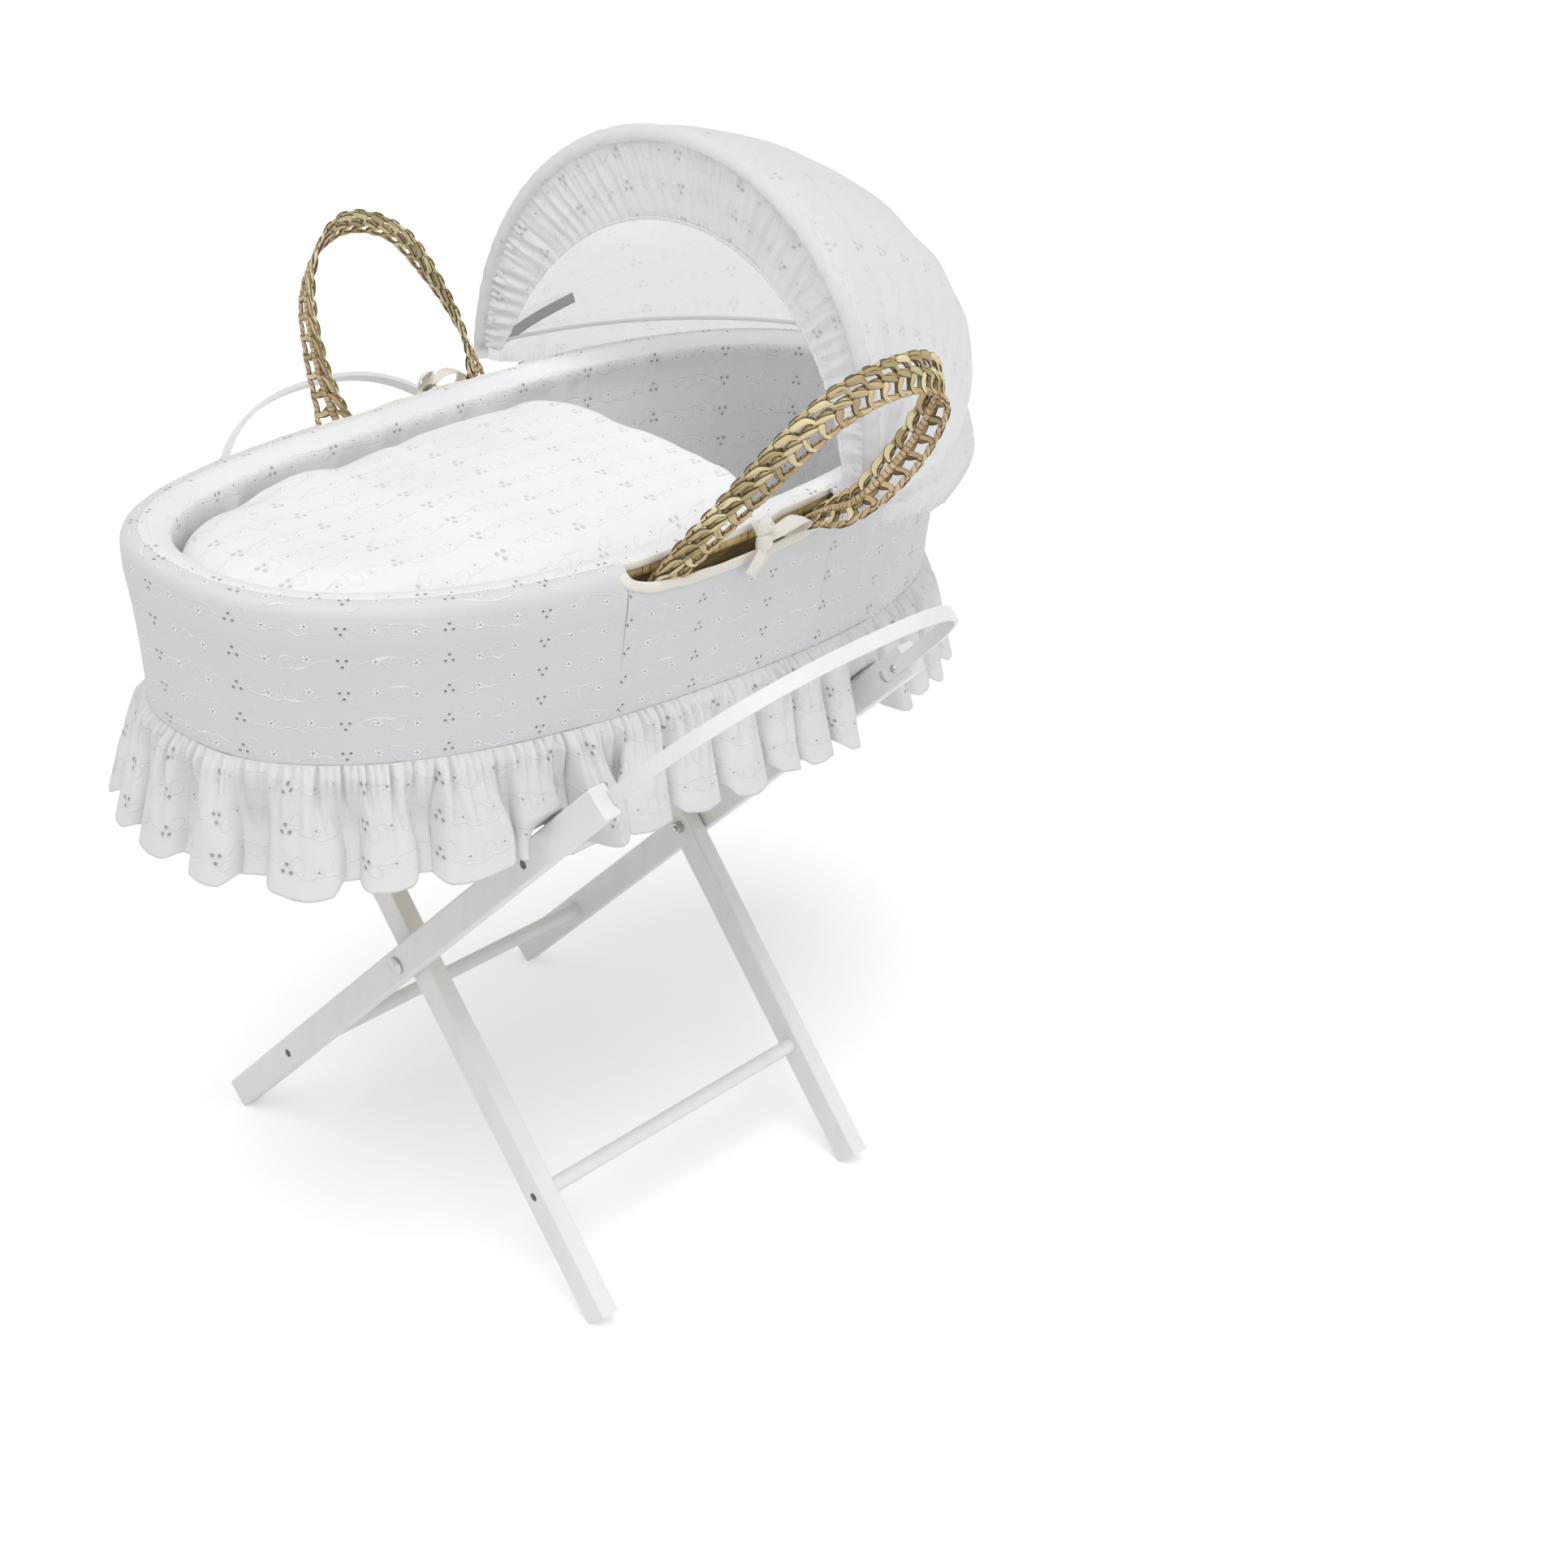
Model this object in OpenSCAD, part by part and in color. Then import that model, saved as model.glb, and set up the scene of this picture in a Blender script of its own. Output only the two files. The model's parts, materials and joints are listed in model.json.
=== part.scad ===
// Bassinet on a folding stand: a dressed palm Moses basket on two crossed
// frames with bent bows.  Millimetres, +Z up, floor at z = 0, head end at +X.

/* [Stand frames] */
// Length of each leg, square cut at both ends
leg_len = 710; // [640:5:780]
// Width of a leg, in the plane of its frame
leg_w = 28; // [24:1:36]
// Thickness of a leg, along the basket
leg_t = 18; // [15:1:24]
// Radius of the eased edges along a leg
leg_ease = 2.5; // [1:0.5:5]
// Width of the stand over the outer faces of the outer legs
stand_w = 391; // [360:1:430]
// Washer gap between an outer and an inner leg
leg_gap = 1; // [0.6:0.1:2]
// Angle of each frame from upright, open
lean = 41.88; // [38:0.5:46]
// Distance of a rail from the pivot, along the leg
rail_r = 234; // [215:1:250]
// Diameter of an upper rail, which carries the straps
upper_rail_d = 19; // [16:1:22]
// Diameter of a lower rail
lower_rail_d = 14; // [11:1:18]

/* [Bows] */
// Rise of a bow above the place where it leaves its leg
bow_rise = 172; // [150:1:190]
// Depth below the leg top at which the bow starts to bend in
bow_drop = 9; // [5:1:16]
// Fullness of the bow's shoulders, 2 is an ellipse
bow_n = 2.35; // [2:0.05:2.8]
// Width of the bow strip
bow_w = 12.5; // [10:0.5:18]
// Thickness of the bow strip
bow_t = 4; // [3:0.5:6]
// Length of the socket routed into a leg for the end of a bow
socket_len = 38; // [32:1:50]
// Depth of that socket
socket_d = 3; // [2:0.5:4]
// Distance of the bow's screw from the leg top
bow_screw_z = 17; // [14:1:24]

/* [Stand hardware] */
// Diameter of a pivot bolt
bolt_d = 6; // [5:0.5:8]
// Running clearance round a pivot bolt, radial
bolt_fit = 0.05; // [0.03:0.01:0.1]
// Diameter of a pivot bolt's domed head
bolt_head_d = 16; // [13:1:20]
// Diameter of the washers between the legs
washer_d = 18; // [14:1:22]
// Diameter of the head of a rail screw
rail_screw_d = 8; // [6:0.5:10]
// Depth to which a rail screw's head is sunk
rail_screw_sink = 4; // [3:0.5:6]
// Length of a rail screw beyond its sunk head
rail_screw_len = 38; // [30:1:50]

/* [Straps] */
// Width of a carrying strap
strap_w = 38; // [30:1:50]
// Thickness of the strap's webbing
strap_t = 2; // [1.5:0.1:3]
// Distance of a strap's middle from the end of the stand
strap_inset = 69.5; // [66:0.5:105]

/* [Basket] */
// Length of the dressed basket at the rim
basket_len = 832; // [780:4:880]
// Width of the dressed basket at the rim
basket_w = 394; // [370:2:410]
// Squareness of the basket's plan, 2 is an ellipse
plan_n = 2.43; // [2:0.05:2.8]
// Share by which the head end is wider and the foot end narrower
plan_egg = 0.03; // [0:0.005:0.05]
// Height of the dressed rim above the underside of the base
basket_h = 238; // [220:1:260]
// Rise of the rim at the foot end
foot_rise = 25; // [0:1:40]
// How far the wall leans in from the rim to the base
wall_lean = 48; // [40:1:60]
// Thickness of the plaited wall
wall_t = 7; // [5:0.5:9]
// Number of plaited bands sewn one above the other in the wall
bands = 6; // [4:1:7]
// Thickness of the woven base
base_t = 9; // [7:0.5:12]
// Diameter of the wrapped coil round the rim
coil_d = 16; // [12:0.5:17]

/* [Dressing] */
// Inset of the woven wall from the outside of the dressing
dressing_gap = 14; // [12.5:0.5:18]
// Thickness of the padded liner
liner_t = 8; // [6:0.5:12]
// Depth from the rim to the seam that gathers the frill
seam_drop = 147; // [135:1:155]
// Length of the frill, seam to hem
frill_len = 92; // [80:1:96]
// How far the hem of the frill stands out from the seam at the sides
frill_flare = 30; // [20:1:34]
// How far it stands out at the head end
frill_end_flare = 18; // [10:1:26]
// Depth of the gathers that the frill holds
frill_t = 12; // [8:0.5:14]
// Length of the slot that a handle comes out of
slot_len = 250; // [236:1:270]
// Width of the bias binding round a slot's lower lip
binding_w = 6; // [4:0.5:8]
// Width of the slot's ribbon
ribbon_w = 10; // [6:0.5:14]
// Length of the ribbon's long loop
ribbon_loop = 44; // [30:1:60]
// Clear room each side of a leg where it passes the frill
leg_notch = 9; // [6:0.5:14]

/* [Handles] */
// Width of a plaited handle
handle_w = 38; // [32:1:44]
// Thickness of a handle over its wrapped strands
handle_t = 9; // [7:0.5:10]
// Distance between the two ends of one handle
handle_span = 164; // [150:2:176]
// Number of crossings along one handle
handle_crossings = 34; // [24:1:40]
// Lean of the near handle out from upright, as it lies
near_lean = 29; // [24:1:32]
// Lean of the far handle out from upright, as it lies
far_lean = 19; // [12:1:22]

/* [Bedding] */
// Thickness of the mattress
mattress_t = 40; // [30:1:50]
// Thickness of the quilted coverlet
coverlet_t = 34; // [24:1:40]
// Place of the coverlet's upper edge, from the middle of the basket
coverlet_x = 122; // [100:1:124]
// Radius of the bowed head edge of the coverlet, seen from above
coverlet_bow = 300; // [260:5:440]

/* [Hood] */
// Place of the hood's pivots, from the middle of the basket
hood_x = 112; // [104:1:130]
// Radius of the front hoop
hoop_r = 236; // [228:1:240]
// Height of the front hoop's straight sides
hoop_leg = 11; // [8:1:20]
// Share by which the cover dips behind the front hoop
hood_dip = 0.09; // [0:0.01:0.12]
// Thickness of the hood's wires
wire_d = 4; // [3:0.5:5]
// Thickness of the hood's lined cover
hood_t = 3; // [2:0.5:4]
// Width of the gathered ruffle inside the front hoop
ruffle_w = 68; // [50:1:80]
// Depth of the hood's skirt below the rim at the head end
skirt_len = 120; // [90:1:130]

/* [Hidden] */

// Gap between pieces that lie against each other, and between soft pieces on different bodies
seat = 0.1;
free = 0.5;

// Stand, worked out
pivot_z = leg_len / 2 * cos(lean) + leg_w / 2 * sin(lean);
outer_in = stand_w / 2 - leg_t;
inner_out = outer_in - leg_gap;
inner_in = inner_out - leg_t;
nut_t = 6;
pilot_r = 2;
pilot_fit = 0.05;
strap_top = pivot_z + rail_r * cos(lean) + upper_rail_d / 2 + seat + strap_t;

// Basket, worked out: d is always the inset from the outside of the dressed rim
half_l = basket_len / 2;
half_w = basket_w / 2;
base_z = strap_top + free;
rim_z = base_z + basket_h;
floor_z = base_z + base_t;
coil_z = rim_z - 4 - coil_d / 2;
wall_top = coil_z - coil_d / 2 - seat;
ring_n = 48;
frill_top = rim_z - seam_drop;
hem_z = frill_top - frill_len;
seam_d = 16;
lip_z = rim_z - 29;
slot_n = 5;
hinge_z = rim_z - 18;
hinge_d = 5;
tail_top = hinge_z - handle_t / 2 - 3 * free;
tail_len = 70;
ribbon_x = ribbon_w * 0.8;

// Handles, worked out: hs is half the distance between a handle's ends, mid its place along the basket.
// Paths run [along the rim, across it, up from the hinge, turn of the strap's face].
hs = handle_span / 2;
hinge_y = half_w - hinge_d;
// The near handle has dropped towards the hood and passes outside it; the far one stands up
near_mid = 3;
far_mid = -8;
far_path = [[-hs, 0, 3, 0], [-hs - 6, 0, 62, 5], [-hs, 0, 118, 30], [-58, 0, 156, 70], [-20, 0, 170, 90],
            [28, 0, 150, 90], [60, 0, 98, 80], [hs - 5, 0, 50, 30], [hs, 0, 3, 0]];
near_path = [[-hs, 0, 3, 0], [-hs + 22, 0, 42, 20], [-34, 0, 86, 40], [4, 0, 148, 60], [52, 0, 172, 66],
             [112, 0, 168, 72], [156, -2, 138, 70], [144, -15, 102, 30], [108, -27, 76, 8],
             [hs + 1, -28, 52, 0], [hs, -13, 27, 0], [hs, 0, 3, 0]];

// Hood, worked out
pivot_h = rim_z + 4;
hoop_lean = 4;
foot_taper = 0.1;
skirt_min = 20;
skirt_full = 7;
skirt_tuck = 9;
wire_r = wire_d / 2;
hoop_in = wire_r + 3.3;
eye_r = wire_d * 1.4;
eye_t = 2;
rivet_r = 1.5;

// Wood, cloth and straw as they look
white_paint = "white";
white_cotton = "whitesmoke";
straw = "tan";
steel = "silver";

function sp(c, n) = sign(c) * pow(abs(c), 2 / n);
function mix(a, b, u) = a * (1 - u) + b * u;
function unit(v) = v / norm(v);

// A point of the plan at angle t, inset by d
function plan(t, d) =
    let (q = sp(cos(t), plan_n))
    [(half_l - d) * q, (half_w - d) * sp(sin(t), plan_n) * (1 + plan_egg * q)];

// Half the width of the plan at x, inset by d
function plan_y(x, d) =
    let (q = x / (half_l - d))
    (half_w - d) * pow(1 - pow(abs(q), plan_n), 1 / plan_n) * (1 + plan_egg * q);

// Rise of the rim towards the foot end
function rise(x) = x < 0 ? foot_rise * pow(x / half_l, 2) : 0;

// Share of the rim's rise that a place on the wall at height z takes
function up(z) = min(1, (z - base_z) / (wall_top - base_z));

// Inset of the woven wall's outer face at height z
function wall_d(z) = dressing_gap + wall_lean * (rim_z - z) / basket_h;

// One ring of the plan: p = [inset, height, share of the rim's rise, further inset at the head end],
// the foot end taking half of that last one
function ring(p) = [for (i = [0:ring_n - 1])
    let (a = plan(360 * i / ring_n, p[0]),
         end = (len(p) > 3 ? p[3] : 0) * (a[0] < 0 ? 0.5 : 1) / half_l,
         x = a[0] * (1 - end))
    [x, a[1], p[1] + p[2] * rise(x)]];

function mean(v, i = 0) = i < len(v) ? v[i] / len(v) + mean(v, i + 1) : [0, 0, 0];

// A skin over rings of equal length; loop closes the last ring on the first, else both ends are capped
module skin(rings, loop = false) {
    m = len(rings);
    n = len(rings[0]);
    sides = [for (j = [0:m - (loop ? 1 : 2)], i = [0:n - 1])
        let (a = j * n + i, b = j * n + (i + 1) % n,
             c = (j + 1) % m * n + (i + 1) % n, d = (j + 1) % m * n + i)
        each [[a, d, c], [a, c, b]]];
    caps = loop ? [] : [for (i = [0:n - 1])
        each [[m * n, i, (i + 1) % n], [m * n + 1, (m - 1) * n + (i + 1) % n, (m - 1) * n + i]]];
    ends = loop ? [] : [mean(rings[0]), mean(rings[m - 1])];
    polyhedron([for (r = rings) each r, each ends], concat(sides, caps), convexity = 10);
}

module plan_band(profile) { skin([for (p = profile) ring(p)], loop = true); }
module plan_block(profile) { skin([for (p = profile) ring(p)]); }

module eased_bar(w, t, len) {
    linear_extrude(len) {
        square([t, w - 2 * leg_ease], center = true);
        square([t - 2 * leg_ease, w], center = true);
        for (x = [-1, 1], y = [-1, 1])
            translate([x * (t / 2 - leg_ease), y * (w / 2 - leg_ease)]) circle(leg_ease, $fn = 24);
    }
}

module both_ends() { for (s = [0, 1]) mirror([s, 0, 0]) children(); }
module both_sides() { for (s = [0, 1]) mirror([0, s, 0]) children(); }
module lean_outer() { translate([0, 0, pivot_z]) rotate([lean, 0, 0]) children(); }
module lean_inner() { translate([0, 0, pivot_z]) rotate([-lean, 0, 0]) children(); }

// ---- crossed frames, drawn upright round the pivot, for the +X side ----

module leg(inner_face) {
    color(white_paint) difference() {
        translate([inner_face + leg_t / 2, 0, -leg_len / 2]) eased_bar(leg_w, leg_t, leg_len);
        rotate([0, 90, 0]) cylinder(h = stand_w, r = bolt_d / 2 + bolt_fit, $fn = 48);
        for (z = [-rail_r, rail_r]) translate([inner_face, 0, z]) rotate([0, 90, 0]) {
            translate([0, 0, -1]) cylinder(h = leg_t + 2, r = pilot_r + pilot_fit, $fn = 32);
            translate([0, 0, leg_t - rail_screw_sink])
                cylinder(h = leg_t, r = rail_screw_d / 2 + pilot_fit, $fn = 32);
        }
        bow_socket(inner_face);
        translate([inner_face, 0, leg_len / 2 - bow_screw_z]) rotate([0, 90, 0])
            cylinder(h = leg_t - socket_d, r = pilot_r + pilot_fit, $fn = 32);
    }
}

module bow_socket(inner_face) {
    w = bow_w + 2 * seat;
    translate([inner_face + socket_d, 0, leg_len / 2 - socket_len + w / 2]) rotate([0, -90, 0]) {
        cylinder(h = 2 * socket_d, r = w / 2, $fn = 48);
        translate([0, -w / 2, 0]) cube([socket_len, w, 2 * socket_d]);
    }
}

module rail(inner_face, d, z) {
    color(white_paint) translate([0, 0, z]) rotate([0, 90, 0]) difference() {
        translate([0, 0, -inner_face + seat]) cylinder(h = 2 * (inner_face - seat), r = d / 2, $fn = 64);
        for (s = [0, 180]) rotate([s, 0, 0])
            translate([0, 0, inner_face - rail_screw_len])
                cylinder(h = rail_screw_len + 1, r = pilot_r + pilot_fit, $fn = 32);
    }
}

// The bent strip: straight ends in the sockets, then a full round arch
module bow(inner_face) {
    foot = leg_len / 2 - bow_drop;
    out = inner_face + socket_d - seat;
    steps = 40;
    function edge(inset) = [for (i = [0:steps])
        let (t = 180 * i / steps)
        [(out - inset) * sp(cos(t), bow_n), foot + (bow_rise - inset) * sp(sin(t), bow_n)]];
    end = leg_len / 2 - socket_len + bow_w / 2;
    color(white_paint) difference() {
        rotate([90, 0, 0]) translate([0, 0, -bow_w / 2]) linear_extrude(bow_w) polygon(concat(
            [[out, end]], edge(0), [[-out, end], [-out + bow_t, end]],
            [for (i = [0:steps]) edge(bow_t)[steps - i]], [[out - bow_t, end]]));
        translate([-stand_w / 2, 0, leg_len / 2 - bow_screw_z]) rotate([0, 90, 0])
            cylinder(h = stand_w, r = pilot_r + pilot_fit, $fn = 32);
    }
}

module rail_screws(inner_face) {
    color("dimgray") both_ends() for (z = [-rail_r, rail_r])
        translate([inner_face + leg_t - rail_screw_sink, 0, z]) rotate([0, 90, 0]) {
            cylinder(h = rail_screw_sink - 1, r = rail_screw_d / 2, $fn = 32);
            translate([0, 0, -rail_screw_len]) cylinder(h = rail_screw_len + 1, r = pilot_r, $fn = 32);
        }
}

module bow_screws(inner_face) {
    strip = inner_face + socket_d - seat - bow_t;
    color(steel) both_ends() translate([strip, 0, leg_len / 2 - bow_screw_z]) rotate([0, 90, 0]) {
        cylinder(h = 12, r = pilot_r, $fn = 32);
        translate([0, 0, -1.6 - seat]) cylinder(h = 1.6, r1 = 2.6, r2 = 3.6, $fn = 32);
        translate([0, 0, -seat]) cylinder(h = 1, r = pilot_r, $fn = 32);
    }
}

module outer_leg_head_end() { lean_outer() leg(outer_in); }
module outer_leg_foot_end() { lean_outer() mirror([1, 0, 0]) leg(outer_in); }
module outer_upper_rail() { lean_outer() rail(outer_in, upper_rail_d, rail_r); }
module outer_lower_rail() { lean_outer() rail(outer_in, lower_rail_d, -rail_r); }
module outer_bow() { lean_outer() bow(outer_in); }
module outer_rail_screws() { lean_outer() rail_screws(outer_in); }
module outer_bow_screws() { lean_outer() bow_screws(outer_in); }
module inner_leg_head_end() { lean_inner() leg(inner_in); }
module inner_leg_foot_end() { lean_inner() mirror([1, 0, 0]) leg(inner_in); }
module inner_upper_rail() { lean_inner() rail(inner_in, upper_rail_d, rail_r); }
module inner_lower_rail() { lean_inner() rail(inner_in, lower_rail_d, -rail_r); }
module inner_bow() { lean_inner() bow(inner_in); }
module inner_rail_screws() { lean_inner() rail_screws(inner_in); }
module inner_bow_screws() { lean_inner() bow_screws(inner_in); }

module pivot_bolts() {
    head_t = 4;
    color(steel) both_ends() translate([0, 0, pivot_z]) rotate([0, 90, 0]) {
        translate([0, 0, inner_in - nut_t - 2])
            cylinder(h = stand_w / 2 - inner_in + nut_t + 3, r = bolt_d / 2, $fn = 48);
        translate([0, 0, stand_w / 2 + seat]) intersection() {
            cylinder(h = head_t, r = bolt_head_d / 2, $fn = 48);
            translate([0, 0, head_t - bolt_head_d]) sphere(bolt_head_d, $fn = 64);
        }
    }
}

module pivot_nuts() {
    color(steel) both_ends() translate([inner_in - free - nut_t, 0, pivot_z]) rotate([0, 90, 0])
        difference() {
            cylinder(h = nut_t, r = bolt_d, $fn = 6);
            translate([0, 0, -1]) cylinder(h = nut_t + 2, r = bolt_d / 2 + bolt_fit, $fn = 48);
        }
}

module pivot_washers() {
    gap = leg_gap - 2 * seat;
    color(steel) both_ends() translate([inner_out + seat, 0, pivot_z]) rotate([0, 90, 0]) difference() {
        cylinder(h = gap, r = washer_d / 2, $fn = 48);
        translate([0, 0, -1]) cylinder(h = gap + 2, r = bolt_d / 2 + bolt_fit, $fn = 48);
    }
}

// A webbing strap with a sewn sleeve round each upper rail
module strap() {
    ry = rail_r * sin(lean);
    rz = pivot_z + rail_r * cos(lean);
    in_r = upper_rail_d / 2 + seat;
    near_edge = stand_w / 2 - strap_inset - strap_w / 2;
    color(white_cotton) rotate([90, 0, 90]) translate([0, 0, near_edge]) linear_extrude(strap_w)
        difference() {
            union() {
                for (s = [-1, 1]) translate([s * ry, rz]) circle(in_r + strap_t, $fn = 48);
                translate([-ry, rz + in_r]) square([2 * ry, strap_t]);
            }
            for (s = [-1, 1]) translate([s * ry, rz]) circle(in_r, $fn = 48);
        }
}
module head_end_strap() { strap(); }
module foot_end_strap() { mirror([1, 0, 0]) strap(); }

// ---- woven basket ----

module basket_base() {
    edge_r = 5;
    color(straw) plan_block([
        [wall_d(base_z) + wall_t + edge_r, base_z, 0],
        [wall_d(base_z) + wall_t + seat, base_z + edge_r, 0],
        [wall_d(base_z) + wall_t + seat, floor_z, 0]]);
}

// Plaited bands, each lapped over the one below, as in a coiled and sewn plait
module basket_wall() {
    band_h = (wall_top - base_z) / bands;
    lap = 2;
    outside = [for (k = [0:bands - 1])
        let (z0 = base_z + k * band_h, z1 = z0 + band_h)
        each [[wall_d(z0 + 3) - lap / 2, z0 + (k == 0 ? 4 : 0.5), up(z0)],
              [wall_d(z1) + lap / 2, z1, up(z1)]]];
    color(straw) plan_band(concat(
        [[wall_d(base_z) + 4, base_z, 0]], outside,
        [[wall_d(wall_top) + wall_t, wall_top, 1], [wall_d(base_z) + wall_t, base_z, 0]]));
}

module rim_coil() {
    c = wall_d(coil_z) + wall_t / 2;
    color(straw) plan_band([for (k = [0:7])
        [c - coil_d / 2 * cos(45 * k), coil_z + coil_d / 2 * sin(45 * k), 1]]);
}

// ---- handles: an open plait of three wrapped strands ----

// Catmull-Rom spline through p at 0..1
function spline(p, u) =
    let (m = len(p) - 1, k = min(floor(u * m), m - 1), f = u * m - k,
         a = p[max(k - 1, 0)], b = p[k], c = p[k + 1], d = p[min(k + 2, m)])
    0.5 * (2 * b + (c - a) * f + (2 * a - 5 * b + 4 * c - d) * f * f + (3 * b - 3 * c + d - a) * f * f * f);

// path holds [along the rim, across it, up from the hinge, turn of the strap's face]
module plait(path) {
    n = 2 * handle_crossings;
    edge = handle_w / 2;
    strand = handle_w / 5;
    across = [-edge, -edge + strand / 2, -edge + strand, -strand / 2, 0, strand / 2,
        edge - strand, edge - strand / 2, edge];
    tall = [0.45, 1, 0.75, 0.75, 1, 0.75, 0.75, 1, 0.45];
    slant = [0, 0, 0, 0.3, 0.3, 0.3, 0, 0, 0];
    // Strands bulge between crossings and pinch at them
    function bulge(j) = j % 2 == 0 ? 0.86 : 1;
    function at(j, k, s) =
        let (u = min(max((j + (j == 0 || j == n ? 0 : slant[k])) / n, 0), 1),
             p = spline(path, u), q = spline(path, min(u + 0.002, 1)), o = spline(path, max(u - 0.002, 0)),
             dir = unit([for (c = [0:2]) q[c] - o[c]]), side = unit(cross([0, 1, 0], dir)),
             wide = cos(p[3]) * side + sin(p[3]) * cross(dir, side), face = cross(dir, wide))
        [for (c = [0:2]) p[c] + across[k] * wide[c] + s * handle_t / 2 * tall[k] * bulge(j) * face[c]];
    w = len(across);
    top = [for (j = [0:n], k = [0:w - 1]) at(j, k, 1)];
    low = [for (j = [0:n], k = [0:w - 1]) at(j, k, -1)];
    b = (n + 1) * w;
    function hole(j, k) = (k == 2 || k == 5) && j % 2 == 1 && j > 0 && j < n - 1;
    flat = [for (j = [0:n - 1], k = [0:w - 2]) if (!hole(j, k))
        let (p = j * w + k, q = p + w)
        each [[p, p + 1, q + 1], [p, q + 1, q], [b + p, b + q + 1, b + p + 1], [b + p, b + q, b + q + 1]]];
    hems = [for (j = [0:n - 1])
        let (p = j * w, q = p + w, r = p + w - 1, s = r + w)
        each [[p, q, b + q], [p, b + q, b + p], [r, b + s, s], [r, b + r, b + s]]];
    tips = [for (k = [0:w - 2])
        let (p = k, q = n * w + k)
        each [[p, b + p, b + p + 1], [p, b + p + 1, p + 1], [q, b + q + 1, b + q], [q, q + 1, b + q + 1]]];
    rims = [for (j = [0:n - 1], k = [2, 5]) if (hole(j, k))
        let (p = j * w + k, q = p + w)
        each [[p, b + p, b + q], [p, b + q, q], [p + 1, b + q + 1, b + p + 1], [p + 1, q + 1, b + q + 1],
              [p, b + p + 1, b + p], [p, p + 1, b + p + 1], [q, b + q, b + q + 1], [q, b + q + 1, q + 1]]];
    polyhedron(concat(top, low), concat(flat, hems, tips, rims), convexity = 10);
}

// The loop on its hinge line, which runs along x
module handle(path) {
    color(straw) {
        plait(path);
        for (x = [-hs, hs]) translate([x - handle_w / 2, 0, 0]) rotate([0, 90, 0])
            cylinder(h = handle_w, r = handle_t / 2, $fn = 24);
    }
}

module near_handle() {
    translate([near_mid, -hinge_y, hinge_z]) rotate([near_lean, 0, 0]) handle(near_path);
}
module far_handle() {
    translate([far_mid, hinge_y, hinge_z]) rotate([-far_lean, 0, 0]) handle(far_path);
}

// The sewn ends of the handles, flat on the wall below the rim
module handle_tails() {
    t = handle_t * 0.8;
    d = 7.2 + t / 2;
    lie = atan(wall_lean / basket_h);
    color(straw) for (side = [[-1, near_mid], [1, far_mid]], e = [-hs, hs])
        translate([side[1] + e, side[0] * plan_y(abs(side[1] + e) + handle_w / 2, d), tail_top])
            rotate([-side[0] * lie, 0, 0])
                translate([-handle_w / 2, -t / 2, -tail_len]) cube([handle_w, t, tail_len]);
}

// ---- soft dressing ----

module padded_liner() {
    function in_d(z) = wall_d(z) + wall_t + 2;
    low = floor_z + 8;
    side = wall_top - 10;
    color(white_cotton) plan_band([
        [in_d(low), low, up(low)], [in_d(side), side, up(side)], [in_d(side) + 2.5, coil_z, 1],
        [in_d(side) - 1, coil_z + coil_d / 2 - 1, 1], [wall_d(coil_z) + 3, rim_z - 3.2, 1],
        [10.6, rim_z - 5, 1], [10.6, rim_z - 2.5, 1], [wall_d(coil_z) + 2, rim_z, 1],
        [in_d(side) + 1, rim_z - 0.5, 1], [in_d(side) + liner_t + 2, coil_z + 2, 1],
        [in_d(side) + liner_t, side - 4, up(side)], [in_d(low) + liner_t, low, up(low)]]);
}

module outer_dressing() {
    t = 3;
    color(white_cotton) difference() {
        plan_band([
            [seam_d, frill_top, 0], [8, frill_top + 62, 0.4], [1, lip_z - 10, 0.9], [0, hinge_z + 2, 1],
            [2.5, rim_z - 5, 1], [10, rim_z - 1, 1], [10, rim_z - 4, 1], [2.5 + t, rim_z - 9, 1],
            [t, hinge_z, 1], [t + 1.5, lip_z - 10, 0.9], [8 + t, frill_top + 62, 0.4],
            [seam_d + t, frill_top, 0]]);
        slot_prism(binding_w);
    }
}

// The slot seen square on: wide in the middle, closing at its ends, grown by w
module slot_prism(w) {
    a = slot_len / 2 + w;
    h = rim_z - 2 - lip_z + w;
    rotate([90, 0, 0]) linear_extrude(basket_w + 40, center = true) polygon([for (t = [0:7.5:359])
        [a * sp(cos(t), slot_n), rim_z - 2 + h * sp(sin(t), slot_n)]]);
}

// Bias binding round the lower lip of each slot
module slot_bindings() {
    low = lip_z - binding_w - 1;
    high = rim_z - 9;
    color("ivory") difference() {
        intersection() {
            plan_band([[-1, low, 1], [-1, high, 1], [3.5, high, 1], [3.5, low, 1]]);
            slot_prism(binding_w - seat);
        }
        slot_prism(0);
    }
}

// A ribbon tied over the middle of each slot: knot, one long loop and two short tails
module slot_ribbons() {
    loop_h = ribbon_w * 1.5;
    knot_r = ribbon_w * 0.65;
    tail = ribbon_loop * 0.6;
    knot_y = plan_y(ribbon_x, 0) + knot_r + 0.5;
    color("ivory") both_sides() translate([ribbon_x, knot_y, rim_z - 2 * ribbon_w]) {
        rotate([0, 20, 0]) scale([1, 0.8, 1.2]) sphere(knot_r, $fn = 24);
        translate([ribbon_loop / 2 + 2, 0, 3]) rotate([90, -8, 0])
            translate([0, 0, -ribbon_w / 2]) difference() {
                scale([ribbon_loop / loop_h, 1, 1]) cylinder(h = ribbon_w, r = loop_h / 2, $fn = 32);
                translate([0, 0, -1]) scale([(ribbon_loop - 3) / (loop_h - 3), 1, 1])
                    cylinder(h = ribbon_w + 2, r = loop_h / 2 - 1.5, $fn = 32);
            }
        for (turn = [-150, 38]) rotate([0, turn, 0])
            translate([-ribbon_w / 2, -0.8, -tail - 3]) cube([ribbon_w, 1.6, tail]);
    }
}

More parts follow.
